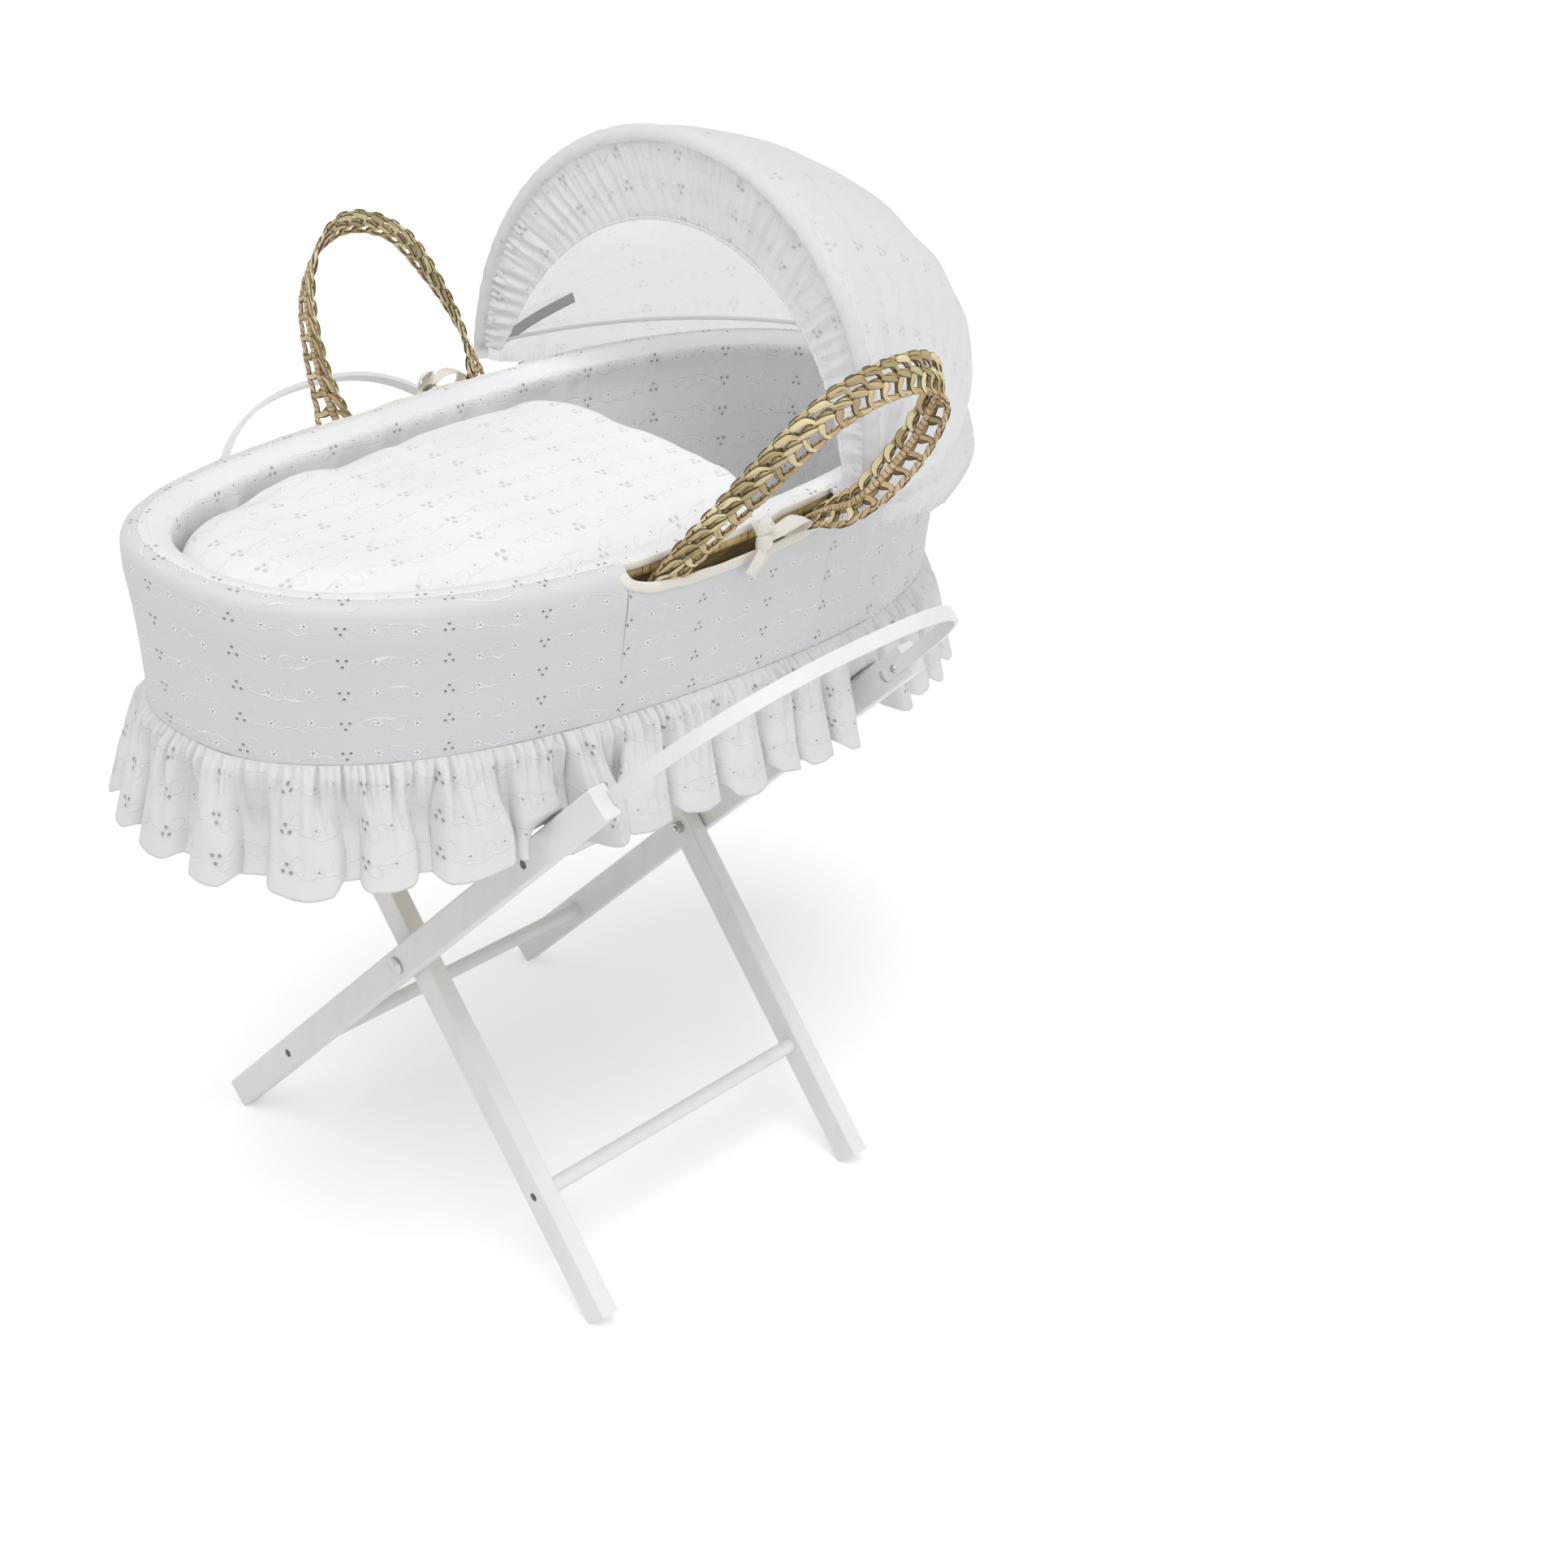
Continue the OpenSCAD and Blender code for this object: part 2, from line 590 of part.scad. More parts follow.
module frill() {
    z = frill_top - seat;
    d = seam_d - 2;
    ends = frill_flare - frill_end_flare;
    notch_h = 71;
    color(white_cotton) difference() {
        plan_band([
            [d + 7, z, 0], [d, z, 0], [d - 4 - frill_flare * 0.3, z - frill_len * 0.3, 0, ends * 0.3],
            [d - frill_flare * 0.7, z - frill_len * 0.7, 0, ends * 0.7], [d - frill_flare, hem_z, 0, ends],
            [d - frill_flare + frill_t, hem_z, 0, ends],
            [d - frill_flare * 0.6 + frill_t, z - frill_len * 0.6, 0, ends * 0.6]]);
        both_ends() for (side = [[-half_w - 60, outer_in], [0, inner_in]])
            translate([side[1] - leg_notch, side[0], hem_z - 1])
                cube([leg_t + 2 * leg_notch, half_w + 60, notch_h]);
    }
}

// ---- bedding ----

module mattress() {
    d = wall_d(floor_z) + wall_t + 1 + liner_t + 2;
    soft = 6;
    z = floor_z + free;
    color(white_cotton) plan_block([
        [d + soft, z, 0], [d, z + soft, 0], [d, z + mattress_t - soft, 0], [d + soft, z + mattress_t, 0]]);
}

// A puffed quilt, turned down along its sides and foot, open at the head end
module coverlet() {
    low = floor_z + free + mattress_t + free;
    function side_d(z) = wall_d(z) + wall_t + 1 + liner_t + 4;
    shoulder = rim_z - 28;
    crown = rim_z - 4;
    outside = [
        [side_d(low) + 3, low, 0], [side_d(shoulder), shoulder, 0.7],
        [side_d(shoulder) + 8, shoulder + 14, 0.7],
        [side_d(shoulder) + 30, crown - 2, 0.6], [side_d(shoulder) + 90, crown, 0.4]];
    inside = [for (p = outside) [p[0] + coverlet_t * 0.8, p[1] - (p[1] == low ? 1 : coverlet_t), p[2]]];
    color(white_cotton) intersection() {
        difference() {
            plan_block(outside);
            plan_block(inside);
        }
        union() {
            translate([coverlet_x - coverlet_bow, 0, 0])
                cylinder(r = coverlet_bow, h = rim_z + 100, $fn = 120);
            translate([-half_l, -half_w, 0])
                cube([half_l + coverlet_x - coverlet_bow, basket_w, rim_z + 100]);
        }
    }
}

// ---- hood ----

// Outline of the hood's foot round the head end: t runs 0 to 180
function foot_line(t, out) =
    let (x = hood_x + (half_l + out - hood_x) * sp(sin(t), 2.2), u = (x - hood_x) / (half_l - hood_x))
    [x, -cos(t) * (hoop_r + out) * (1 - foot_taper * min(u, 1)), 0];

// Front arch of the hood in its own upright plane
function front_arch(t, out) =
    [hood_x, -(hoop_r + out) * cos(t), hoop_leg * min(1, sin(t) * 4) + (hoop_r + out) * sin(t)];

// The hood at turn v from the front arch (0) to the foot line (90)
function hood_point(t, v, out) =
    let (a = front_arch(t, out), b = foot_line(t, out + 2), c = cos(v), s = sin(v),
         back = tan(hoop_lean) * a[2], dip = 1 - hood_dip * sin(2 * v))
    [hood_x + back * c + (b[0] - hood_x) * s, mix(b[1], a[1], c), pivot_h + a[2] * c * dip];

module hood_cover() {
    arcs = 9;
    ts = 26;
    function skirt(t, k, out) =
        let (b = foot_line(t, out + 2), drop = (skirt_min + (skirt_len - skirt_min) * pow(sin(t), 1.3)) * k)
        [b[0] + (skirt_full * sin(180 * k) - skirt_tuck * k * k) * sin(t),
         b[1] * (1 - 0.07 * k * k * sin(t)), pivot_h - drop];
    function row(v, out) = [for (i = [0:ts])
        let (t = 180 * i / ts)
        v <= 90 ? hood_point(t, v, out) : skirt(t, (v - 90) / 30, out)];
    turns = concat([for (i = [0:arcs]) 90 * i / arcs], [105, 120]);
    color(white_cotton) skin([for (i = [0:ts]) concat(
        [for (v = turns) row(v, hood_t)[i]],
        [for (k = [0:len(turns) - 1]) row(turns[len(turns) - 1 - k], 0)[i]])]);
}

module wire(points) {
    skin([for (j = [0:len(points) - 1])
        let (f = unit(points[min(j + 1, len(points) - 1)] - points[max(j - 1, 0)]),
             u = unit(cross([0, 0, 1], f)), v = cross(f, u))
        [for (k = [0:7]) points[j] + wire_r * (cos(45 * k) * u + sin(45 * k) * v)]]);
}

// Line of holes for the hood's rivets
module rivet_line() {
    translate([hood_x, 0, pivot_h]) rotate([90, 0, 0])
        cylinder(h = 3 * hoop_r, r = rivet_r + bolt_fit, center = true, $fn = 32);
}

// A flattened eye at each side, its inner face at y
module eyes(y) {
    both_sides() translate([hood_x, y, pivot_h]) rotate([-90, 0, 0])
        cylinder(h = eye_t, r = eye_r, $fn = 32);
}

module hood_front_hoop() {
    r = hoop_r - hoop_in;
    color(steel) difference() {
        union() {
            translate([hood_x, 0, pivot_h]) rotate([0, hoop_lean, 0]) {
                translate([0, 0, hoop_leg]) rotate([90, 0, 90]) rotate_extrude(angle = 180, $fn = 96)
                    translate([r, 0]) circle(wire_r, $fn = 24);
                both_sides() translate([0, r, wire_d])
                    cylinder(h = hoop_leg - wire_d, r = wire_r, $fn = 24);
            }
            eyes(r + wire_r - eye_t);
        }
        rivet_line();
    }
}

module hood_base_wire() {
    inner = hoop_r - hoop_in + wire_r + 2 * seat;
    steps = 26;
    start = 0.5;
    color(steel) difference() {
        union() {
            wire([for (i = [0:steps])
                foot_line(start + (180 - 2 * start) * i / steps, inner + wire_r + 0.6 - hoop_r)
                    + [0, 0, pivot_h - wire_r / 2]]);
            eyes(inner);
        }
        rivet_line();
    }
}

module hood_rivets() {
    inner = hoop_r - hoop_in + wire_r - eye_t - seat;
    grip = 2 * eye_t + 4 * seat;
    head_r = 3;
    head_t = 0.8;
    color(steel) both_sides() translate([hood_x, inner, pivot_h]) rotate([-90, 0, 0]) {
        cylinder(h = grip, r = rivet_r, $fn = 32);
        translate([0, 0, -head_t]) cylinder(h = head_t, r = head_r, $fn = 32);
        translate([0, 0, grip]) cylinder(h = head_t, r = head_r, $fn = 32);
    }
}

module hood_ruffle() {
    ts = 26;
    t = 4;
    function at(a, w, off) =
        let (r = hoop_r - hoop_in - wire_r - 1 - w, x = off + w * 0.2)
        [x, -r * cos(a), hoop_leg * min(1, sin(a) * 4) + r * sin(a)];
    function wide(a) = 14 + (ruffle_w - 14) * pow(sin(a), 0.6);
    color(white_cotton) translate([hood_x, 0, pivot_h]) rotate([0, hoop_lean, 0])
        skin([for (i = [0:ts]) let (a = 3 + 174 * i / ts)
            [at(a, 0, t / 2), at(a, wide(a) / 2, t), at(a, wide(a), t / 2),
             at(a, wide(a), -t / 2), at(a, wide(a) / 2, -t), at(a, 0, -t / 2)]]);
}

outer_leg_foot_end();
outer_leg_head_end();
outer_upper_rail();
outer_lower_rail();
outer_bow();
inner_leg_foot_end();
inner_leg_head_end();
inner_upper_rail();
inner_lower_rail();
inner_bow();
pivot_bolts();
pivot_nuts();
pivot_washers();
outer_rail_screws();
inner_rail_screws();
outer_bow_screws();
inner_bow_screws();
foot_end_strap();
head_end_strap();
basket_base();
basket_wall();
rim_coil();
handle_tails();
near_handle();
far_handle();
padded_liner();
outer_dressing();
frill();
slot_bindings();
slot_ribbons();
mattress();
coverlet();
hood_front_hoop();
hood_base_wire();
hood_rivets();
hood_ruffle();
hood_cover();
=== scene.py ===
"""A dressed palm Moses basket with a hood, on its folding stand."""
import json
import math

import bpy
import numpy as np
from mathutils import Matrix, Vector

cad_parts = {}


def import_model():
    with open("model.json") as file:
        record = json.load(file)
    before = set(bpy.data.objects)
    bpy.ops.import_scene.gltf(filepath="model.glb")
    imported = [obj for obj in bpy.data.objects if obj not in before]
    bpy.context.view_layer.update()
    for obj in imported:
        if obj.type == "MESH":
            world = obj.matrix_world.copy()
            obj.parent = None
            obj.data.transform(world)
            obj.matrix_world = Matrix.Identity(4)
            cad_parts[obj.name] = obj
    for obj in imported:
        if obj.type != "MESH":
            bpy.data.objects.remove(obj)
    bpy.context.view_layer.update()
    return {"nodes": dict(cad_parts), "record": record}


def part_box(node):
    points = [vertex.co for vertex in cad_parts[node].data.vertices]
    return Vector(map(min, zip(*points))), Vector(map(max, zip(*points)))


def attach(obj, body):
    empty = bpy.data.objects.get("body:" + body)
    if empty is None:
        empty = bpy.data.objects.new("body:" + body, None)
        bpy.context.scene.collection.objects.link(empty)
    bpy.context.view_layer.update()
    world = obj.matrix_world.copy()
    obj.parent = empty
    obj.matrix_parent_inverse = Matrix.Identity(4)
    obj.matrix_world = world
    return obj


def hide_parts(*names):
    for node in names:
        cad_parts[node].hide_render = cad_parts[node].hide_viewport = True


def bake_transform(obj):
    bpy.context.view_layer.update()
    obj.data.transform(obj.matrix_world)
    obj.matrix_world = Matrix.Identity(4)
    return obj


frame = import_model()
NODES = frame["nodes"]

# ---- sizes, in metres, as part.scad has them ----

MM = 0.001
HALF_L, HALF_W = 0.416, 0.197        # half the plan at the rim
PLAN_N, PLAN_EGG = 2.43, 0.03        # how square the plan is, and its wider head end
BASE_Z = float(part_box("basket_base")[0][2])
FLOOR_Z = float(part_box("basket_base")[1][2])
BASKET_H = 0.238
RIM = BASE_Z + BASKET_H
FOOT_RISE = 0.025                    # of the rim, at the foot end
WALL_GAP, WALL_LEAN, WALL_T = 0.014, 0.048, 0.007  # the woven wall's inset at the rim, more at its foot
COIL_D, COIL_WRAP = 0.016, 0.0085    # the rim coil, and the width of its leaf
COIL_Z = RIM - 0.004 - COIL_D / 2
WALL_TOP = COIL_Z - COIL_D / 2
FRILL_TOP = float(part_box("outer_dressing")[0][2])
HEM_Z = float(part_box("frill")[0][2])
LIP_Z = RIM - 0.029                  # lower edge of a handle's slot
SLOT_HALF, SLOT_N = 0.125, 3         # half a handle's slot, and how square its ends are
SLOT_TOP = RIM - 0.002
BINDING_W = 0.006
LINER_EDGE = 0.0112                  # inset of the liner's outer edge from the outside of the rim
HINGE_Y, HINGE_Z = HALF_W - 0.005, RIM - 0.018  # the handles' hinges
HANDLE_W, HANDLE_T = 0.038, 0.009
TAIL_L, TAIL_INSET = 0.068, 0.0108   # of a handle's tails, sewn down inside the dressing
HOOD_X, PIVOT_Z = 0.112, RIM + 0.004  # the hood's rivets
HOOP_R, HOOP_LEG, HOOD_DIP, FOOT_TAPER = 0.236, 0.011, 0.09, 0.1
HOOP_LEAN = math.radians(4)
RUFFLE_W = 0.068
COVER_OUT, RUFFLE_IN = 0.003, 0.0083  # outside and inside the front hoop's middle
CASING_R = 0.0072                    # half the width of the tunnel round it
LEAN = math.radians(41.88)           # of each frame of the stand from upright
LEG_HALF = 0.014                     # half a leg's width
PIVOT_STAND = 0.27365                # height of the stand's pivot
STRAP_T, SLEEVE_R = 0.002, 0.0110    # a strap's thickness, and the outside of its turn round a rail

# flat sizes of the sheets, before they are gathered or stretched
GREY_STRIP_W = 0.0102


def add(name, data):
    """A new object in the scene."""
    obj = bpy.data.objects.new(name, data)
    bpy.context.scene.collection.objects.link(obj)
    return obj


# ---- camera ----

camera_data = bpy.data.cameras.new("camera")
camera = add("camera", camera_data)
bpy.context.scene.camera = camera
eye = Vector((-1.4666, -1.4918, 1.5774))
target = Vector((0.0892, -0.1835, 0.4256))
tilt = Matrix.Rotation(0.0706, 4, "Z")
aim = (target - eye).to_track_quat("-Z", "Y").to_matrix().to_4x4()
camera.matrix_world = Matrix.Translation(eye) @ aim @ tilt
camera_data.lens = 61.52
camera_data.sensor_width = 36
camera_data.sensor_fit = "HORIZONTAL"
camera_data.clip_end = 50


# ---- shader building ----

class Val:
    """A socket that takes part in sums."""

    def __init__(self, shader, socket):
        self.shader, self.socket = shader, socket

    def op(self, kind, *others):
        return self.shader.math(kind, self, *others)

    def __add__(self, b):
        return self.op("ADD", b)

    def __sub__(self, b):
        return self.op("SUBTRACT", b)

    def __rsub__(self, b):
        return self.shader.math("SUBTRACT", b, self)

    def __mul__(self, b):
        return self.op("MULTIPLY", b)

    __rmul__ = __mul__

    def __truediv__(self, b):
        return self.op("DIVIDE", b)


class Shader:
    """A material on one Principled shader, whose nodes are made by short calls."""

    def __init__(self, name, **uniform):
        self.mat = bpy.data.materials.new(name)
        self.mat.use_nodes = True
        self.tree = self.mat.node_tree
        self.bsdf = next(n for n in self.tree.nodes if n.type == "BSDF_PRINCIPLED")
        for socket, value in uniform.items():
            self.bsdf.inputs[socket.replace("_", " ")].default_value = value

    def plug(self, socket, value):
        """Gives a socket a number, a colour or another socket's value."""
        if isinstance(value, Val):
            self.tree.links.new(value.socket, socket)
        elif isinstance(value, (tuple, list)) and len(value) == 3 and socket.type == "RGBA":
            socket.default_value = (*value, 1)
        else:
            socket.default_value = value

    def node(self, kind, out=0, inputs=(), **settings):
        """A new node, and the output of it that is asked for."""
        n = self.tree.nodes.new("ShaderNode" + kind)
        for key, value in settings.items():
            setattr(n, key, value)
        for key, value in dict(inputs).items():
            self.plug(n.inputs[key], value)
        return Val(self, n.outputs[out])

    def math(self, kind, *values):
        return self.node("Math", 0, enumerate(values), operation=kind)

    def distance(self, x, y):
        return self.math("SQRT", x * x + y * y)

    def tinted(self, tone, colour):
        """The colour, made paler or darker by tone."""
        return self.node("CombineColor", 0, [(n, tone * c) for n, c in enumerate(colour)])

    def step(self, x, low, high, start=0.0, end=1.0):
        """Smooth change from start to end as x goes from low to high."""
        return self.node("MapRange", 0, [("Value", x), ("From Min", low), ("From Max", high),
                         ("To Min", start), ("To Max", end)], interpolation_type="SMOOTHSTEP")

    def mix(self, share, a, b):
        """Colour a with that share of colour b."""
        return self.node("Mix", 2, [(0, share), (6, a), (7, b)], data_type="RGBA")

    def coords(self):
        return self.node("TexCoord", "Object")

    def uv(self):
        """The cloth's own co-ordinates, in millimetres."""
        split = self.node("SeparateXYZ", 0, [("Vector", self.node("UVMap"))]).socket.node
        return Val(self, split.outputs[0]) * 1000, Val(self, split.outputs[1]) * 1000

    def noise(self, scale, detail=2.0, where=None, rough=0.5):
        return self.node("TexNoise", 0, [("Vector", where or self.coords()), ("Scale", scale),
                         ("Detail", detail), ("Roughness", rough)])

    def bump(self, height, distance, strength, under=None):
        """Relief by height, on top of the relief in under."""
        links = [("Height", height), ("Distance", distance), ("Strength", strength)]
        if under is not None:
            links.append(("Normal", under))
        return self.node("Bump", 0, links)

    def see_light(self, share, colour):
        """Lets that share of the light through, as thin cloth does."""
        through = self.node("BsdfTranslucent", 0, [("Color", colour)])
        both = self.node("MixShader", 0, [(0, share), (1, Val(self, self.bsdf.outputs[0])), (2, through)])
        out = next(n for n in self.tree.nodes if n.type == "OUTPUT_MATERIAL")
        self.plug(out.inputs["Surface"], both)

    def finish(self, colour, normal, rough=None):
        """The material, with these plugged in."""
        for socket, value in (("Base Color", colour), ("Normal", normal), ("Roughness", rough)):
            if value is not None:
                self.plug(self.bsdf.inputs[socket], value)
        return self.mat


# ---- cloth ----

ROW = 28.5            # height of one row of the embroidery, mm
HALF_PERIOD = 82.0    # between neighbouring eyelet groups, mm


def broderie(s):
    """Eyelet embroidery: returns how much of a place is hole and how much is thread."""
    u, v = s.uv()
    y = v - (s.math("FLOOR", v / ROW) + 0.5) * ROW

    def cells(shift):
        """The place in its cell along the cloth; every second cell is upside down."""
        cell = s.math("FLOOR", u / HALF_PERIOD + shift)
        flip = 1 - 2 * s.math("MODULO", s.math("ABSOLUTE", cell), 2.0)
        return u - cell * HALF_PERIOD, y * flip

    # groups of three eyelets
    x, up = cells(0.5)
    near = 1000.0
    for ex, ey in ((0, -3.6), (-3.2, 2.0), (3.2, 2.0)):
        near = s.math("MINIMUM", s.distance(x - ex, up - ey), near)
    hole = s.step(near, 1.15, 1.55, 1.0, 0.0)
    thread = s.step(near, 2.1, 2.5, 1.0, 0.0) * (1 - hole)
    # the vine and its flowers, between the groups
    x, up = cells(0.0)
    for fx, fy in ((25.0, 1.0), (56.0, -2.0)):
        dx, dy = x - fx, up - fy
        r = s.distance(dx, dy)
        petal = s.math("COSINE", s.math("ARCTAN2", dy, dx) * 5)
        hole = s.math("MAXIMUM", hole, s.step(r, 0.5, 0.8, 1.0, 0.0))
        star = s.step(r - petal * 1.5, 2.5, 3.1, 1.0, 0.0)
        thread = s.math("MAXIMUM", thread, star * s.step(r, 0.7, 1.0))
    stray = s.noise(1.0, 1.0, s.node("CombineXYZ", 0, [(0, u * 0.045), (1, v * 0.045)]))
    up = up + (stray - 0.5) * 16
    wave = s.math("SINE", x * (math.pi / HALF_PERIOD)) * 7 - 1
    vine = s.step(s.math("ABSOLUTE", up - wave), 0.35, 0.8, 1.0, 0.0)
    clear = s.step(s.math("ABSOLUTE", x - HALF_PERIOD / 2), 30.0, 33.0, 1.0, 0.0)
    for cx, cy, r in ((41.0, 0.0, 6.2), (9.0, -5.0, 5.2)):
        curl = s.math("ABSOLUTE", s.distance(x - cx, up - cy) - r)
        vine = s.math("MAXIMUM", vine * clear, s.step(curl, 0.3, 0.75, 1.0, 0.0))
    return hole, s.math("MAXIMUM", thread, vine * 0.7)


def cloth(name, colour, worked=True, creases=0.0006, crease_scale=28.0, thin=0.0, hole_shade=0.21):
    """White cotton. worked adds the embroidery, thin is the share of light that passes through and behind is
    the grey painted in the eyelets for the shade seen through them."""
    s = Shader(name, Roughness=0.82, Sheen_Weight=0.15, Sheen_Roughness=0.5)
    cloud = s.noise(9.0, 3.0)
    tone = s.step(cloud, 0.3, 0.7, 0.975, 1.0)
    shade = s.tinted(tone, colour)
    crease = s.bump(s.noise(crease_scale, 2.0, rough=0.4), creases, 0.5)
    threads = s.bump(s.noise(1800.0, 1.0), 0.00008, 0.6, crease)
    if not worked:
        return s.finish(shade, threads)
    hole, thread = broderie(s)
    shade = s.mix(thread * 0.75, shade, (0.93, 0.93, 0.93))
    # painted shade: the eyelets are coloured grey for the shade seen through them
    shade = s.mix(hole * 0.9, shade, (hole_shade, hole_shade * 1.02, hole_shade * 1.04))
    relief = s.bump(thread - hole * 1.5, 0.0006, 0.9, threads)
    if thin:
        s.see_light(thin, (0.95, 0.95, 0.955))
    return s.finish(shade, relief)


# painted light: the dressing's colour is darkened as shade on the basket's sides and the liner's lightened
# against the hood's shade, though both show as one cloth
COTTON = {
    "embroidered_cotton": cloth("dressing cotton", (0.672, 0.675, 0.684)),
    "liner_cotton": cloth("liner cotton", (0.790, 0.791, 0.797), hole_shade=0.30),
    "frill_cotton": cloth("frill cotton", (0.830, 0.826, 0.822), creases=0.0010, thin=0.25, hole_shade=0.30),
    "quilted_cotton": cloth("quilt cotton", (0.825, 0.825, 0.826), creases=0.0012, crease_scale=14.0,
                            hole_shade=0.60),
    "hood_cotton": cloth("hood cotton", (0.875, 0.877, 0.882), creases=0.0008, thin=0.6, hole_shade=0.50),
    "ruffle_cotton": cloth("ruffle cotton", (0.860, 0.862, 0.868), creases=0.0008, thin=0.35, hole_shade=0.50),
    "mattress_cotton": cloth("mattress cotton", (0.78, 0.78, 0.785), worked=False),
    "cream_binding": cloth("cream binding", (0.80, 0.765, 0.69), worked=False, creases=0.0004),
    "cream_ribbon": cloth("cream ribbon", (0.82, 0.78, 0.715), worked=False, creases=0.0004),
}


# ---- straw, wood and metal ----

def straw(name, light, mid, dark):
    """Palm leaf: fibres run along u, and shade is painted where the edge attribute marks the gaps, folds and
    tucks between wraps and leaves. A leaf's tone is 0 to 1, pale to deep, with 2 more for a redder leaf."""
    s = Shader(name, Roughness=0.62, Specular_IOR_Level=0.3)
    u, v = s.uv()
    tone = s.node("Attribute", 2, attribute_name="tone")
    edge = s.node("Attribute", 2, attribute_name="edge")
    where = s.node("CombineXYZ", 0, [(0, u * 0.02), (1, v * 0.9), (2, tone * 60)])
    lines = s.noise(1.0, 4.0, where, 0.65)
    fine = s.noise(4.5, 2.0, where)
    own = s.math("FRACT", tone * 0.5) * 2
    shade = s.mix(s.step(own, 0.1, 0.9), mid, light)
    shade = s.mix(s.step(tone, 1.4, 1.6) * 0.65, shade, (0.62, 0.43, 0.24))
    shade = s.mix(s.step(lines, 0.52, 0.78) * 0.55, shade, dark)
    shade = s.mix(s.step(fine, 0.55, 0.8) * 0.30, shade, dark)
    # painted shade: darkest where the edge attribute marks gaps, folds and tucks between wraps and leaves
    shade = s.mix(s.step(edge, 0.08, 0.7) * 0.94, shade, tuple(c * 0.28 for c in dark))
    relief = s.bump(lines + fine * 0.6, 0.00035, 0.9)
    return s.finish(shade, relief)


STRAW = {
    "plaited_palm": straw("plaited palm", (0.86, 0.74, 0.45), (0.47, 0.37, 0.185), (0.11, 0.065, 0.025)),
    "wrapped_palm_coil": straw("coiled palm", (0.74, 0.56, 0.27), (0.64, 0.46, 0.21), (0.30, 0.18, 0.07)),
}


def woven(name):
    """Over-and-under plait of flat palm leaf, for the wall and base."""
    s = Shader(name, Roughness=0.7)
    where = s.coords()
    checks = s.node("TexChecker", 1, [("Vector", where), ("Scale", 90.0)])
    leaf = s.noise(60.0, 4.0, s.node("Mapping", 0, [("Vector", where), ("Scale", (1, 1, 6))]))
    shade = s.mix(s.step(leaf, 0.35, 0.7), (0.50, 0.37, 0.18), (0.33, 0.23, 0.10))
    relief = s.bump(checks * 0.6 + leaf, 0.0012, 0.7)
    return s.finish(shade, relief)


def painted_wood(name, lean=0.0):
    """White paint over planed wood, whose grain runs along a leg that leans by that angle."""
    s = Shader(name, Roughness=0.42, Coat_Weight=0.12, Coat_Roughness=0.35)
    turned = s.node("Mapping", 0, [("Vector", s.coords()), ("Rotation", (lean, 0, 0)),
                    ("Scale", (60, 60, 3))])
    grain = s.noise(1.0, 4.0, turned, 0.6)
    cloud = s.noise(6.0, 2.0)
    tone = s.step(cloud, 0.3, 0.7, 0.97, 1.0) * s.step(grain, 0.25, 0.6, 0.965, 1.0)
    shade = s.tinted(tone, (0.80, 0.80, 0.795))
    relief = s.bump(grain, 0.00025, 0.5, s.bump(s.noise(220.0, 2.0), 0.00012, 0.4))
    return s.finish(shade, relief, s.step(cloud, 0.3, 0.7, 0.36, 0.5))


def steel(name, colour, rough):
    """Metal rubbed a little dull."""
    s = Shader(name, Metallic=1.0)
    rub = s.noise(900.0, 3.0)
    shade = s.mix(s.step(rub, 0.35, 0.7), colour, tuple(c * 0.75 for c in colour))
    return s.finish(shade, s.bump(rub, 0.00005, 0.5), s.step(rub, 0.3, 0.7, rough, rough + 0.15))


def webbing(name, colour):
    """Flat woven tape: its ribs run across, and u is along it."""
    s = Shader(name, Roughness=0.8, Sheen_Weight=0.1)
    u, v = s.uv()
    rib = s.math("SINE", u * (2 * math.pi / 1.6)) * s.math("SINE", v * (2 * math.pi / 1.2))
    cloud = s.noise(40.0, 3.0)
    # painted shade: the tone follows the ribs' height, darker in their hollows
    tone = s.step(cloud, 0.3, 0.7, 0.95, 1.0) * s.step(rib, -1.0, 1.0, 0.93, 1.0)
    return s.finish(s.tinted(tone, colour), s.bump(rib, 0.00025, 0.8))


MATERIALS = {
    **COTTON, **STRAW,
    "woven_palm": woven("woven palm"),
    "white_painted_wood": painted_wood("painted wood"),
    "bright_steel": steel("bright steel", (0.62, 0.62, 0.62), 0.28),
    "dark_steel": steel("dark steel", (0.16, 0.16, 0.17), 0.42),
    "white_webbing": webbing("webbing", (0.78, 0.78, 0.77)),
    "grey_tape": webbing("grey tape", (0.50, 0.525, 0.50)),
}
LEANING = {"outer": painted_wood("outer frame wood", -LEAN), "inner": painted_wood("inner frame wood", LEAN)}


def dress_nodes():
    """Gives each CAD node its material."""
    for row in frame["record"]["subparts"]:
        node = row["node"]
        mat = MATERIALS[row["material_slot"]]
        if "_leg_" in node:
            mat = LEANING[node.split("_")[0]]
        if node == "hood_base_wire":
            mat = MATERIALS["mattress_cotton"]      # it runs in a cotton tunnel
        NODES[node].data.materials.clear()
        NODES[node].data.materials.append(mat)


dress_nodes()


# ---- meshes ----

def patch(points, uv, wrap=False, tube=False, tone=None, edge=None):
    """A grid of points (n, m, 3) as a part of a mesh. wrap joins the last row to the first, tube joins
    the last column to the first, and uv is in metres, with one more row or column there."""
    n, m = points.shape[:2]
    rows, cols = n - (not wrap), m - (not tube)
    i, j = (a.ravel() for a in np.meshgrid(np.arange(rows), np.arange(cols), indexing="ij"))
    k, l = (i + 1) % n, (j + 1) % m
    faces = np.stack([i * m + j, k * m + j, k * m + l, i * m + l], 1)
    corner = np.stack([uv[i, j], uv[i + 1, j], uv[i + 1, j + 1], uv[i, j + 1]], 1)
    blank = np.zeros((n, m))
    return {"points": points.reshape(-1, 3), "faces": faces, "uv": corner,
            "tone": (blank if tone is None else tone).ravel(),
            "edge": (blank if edge is None else edge).ravel()}


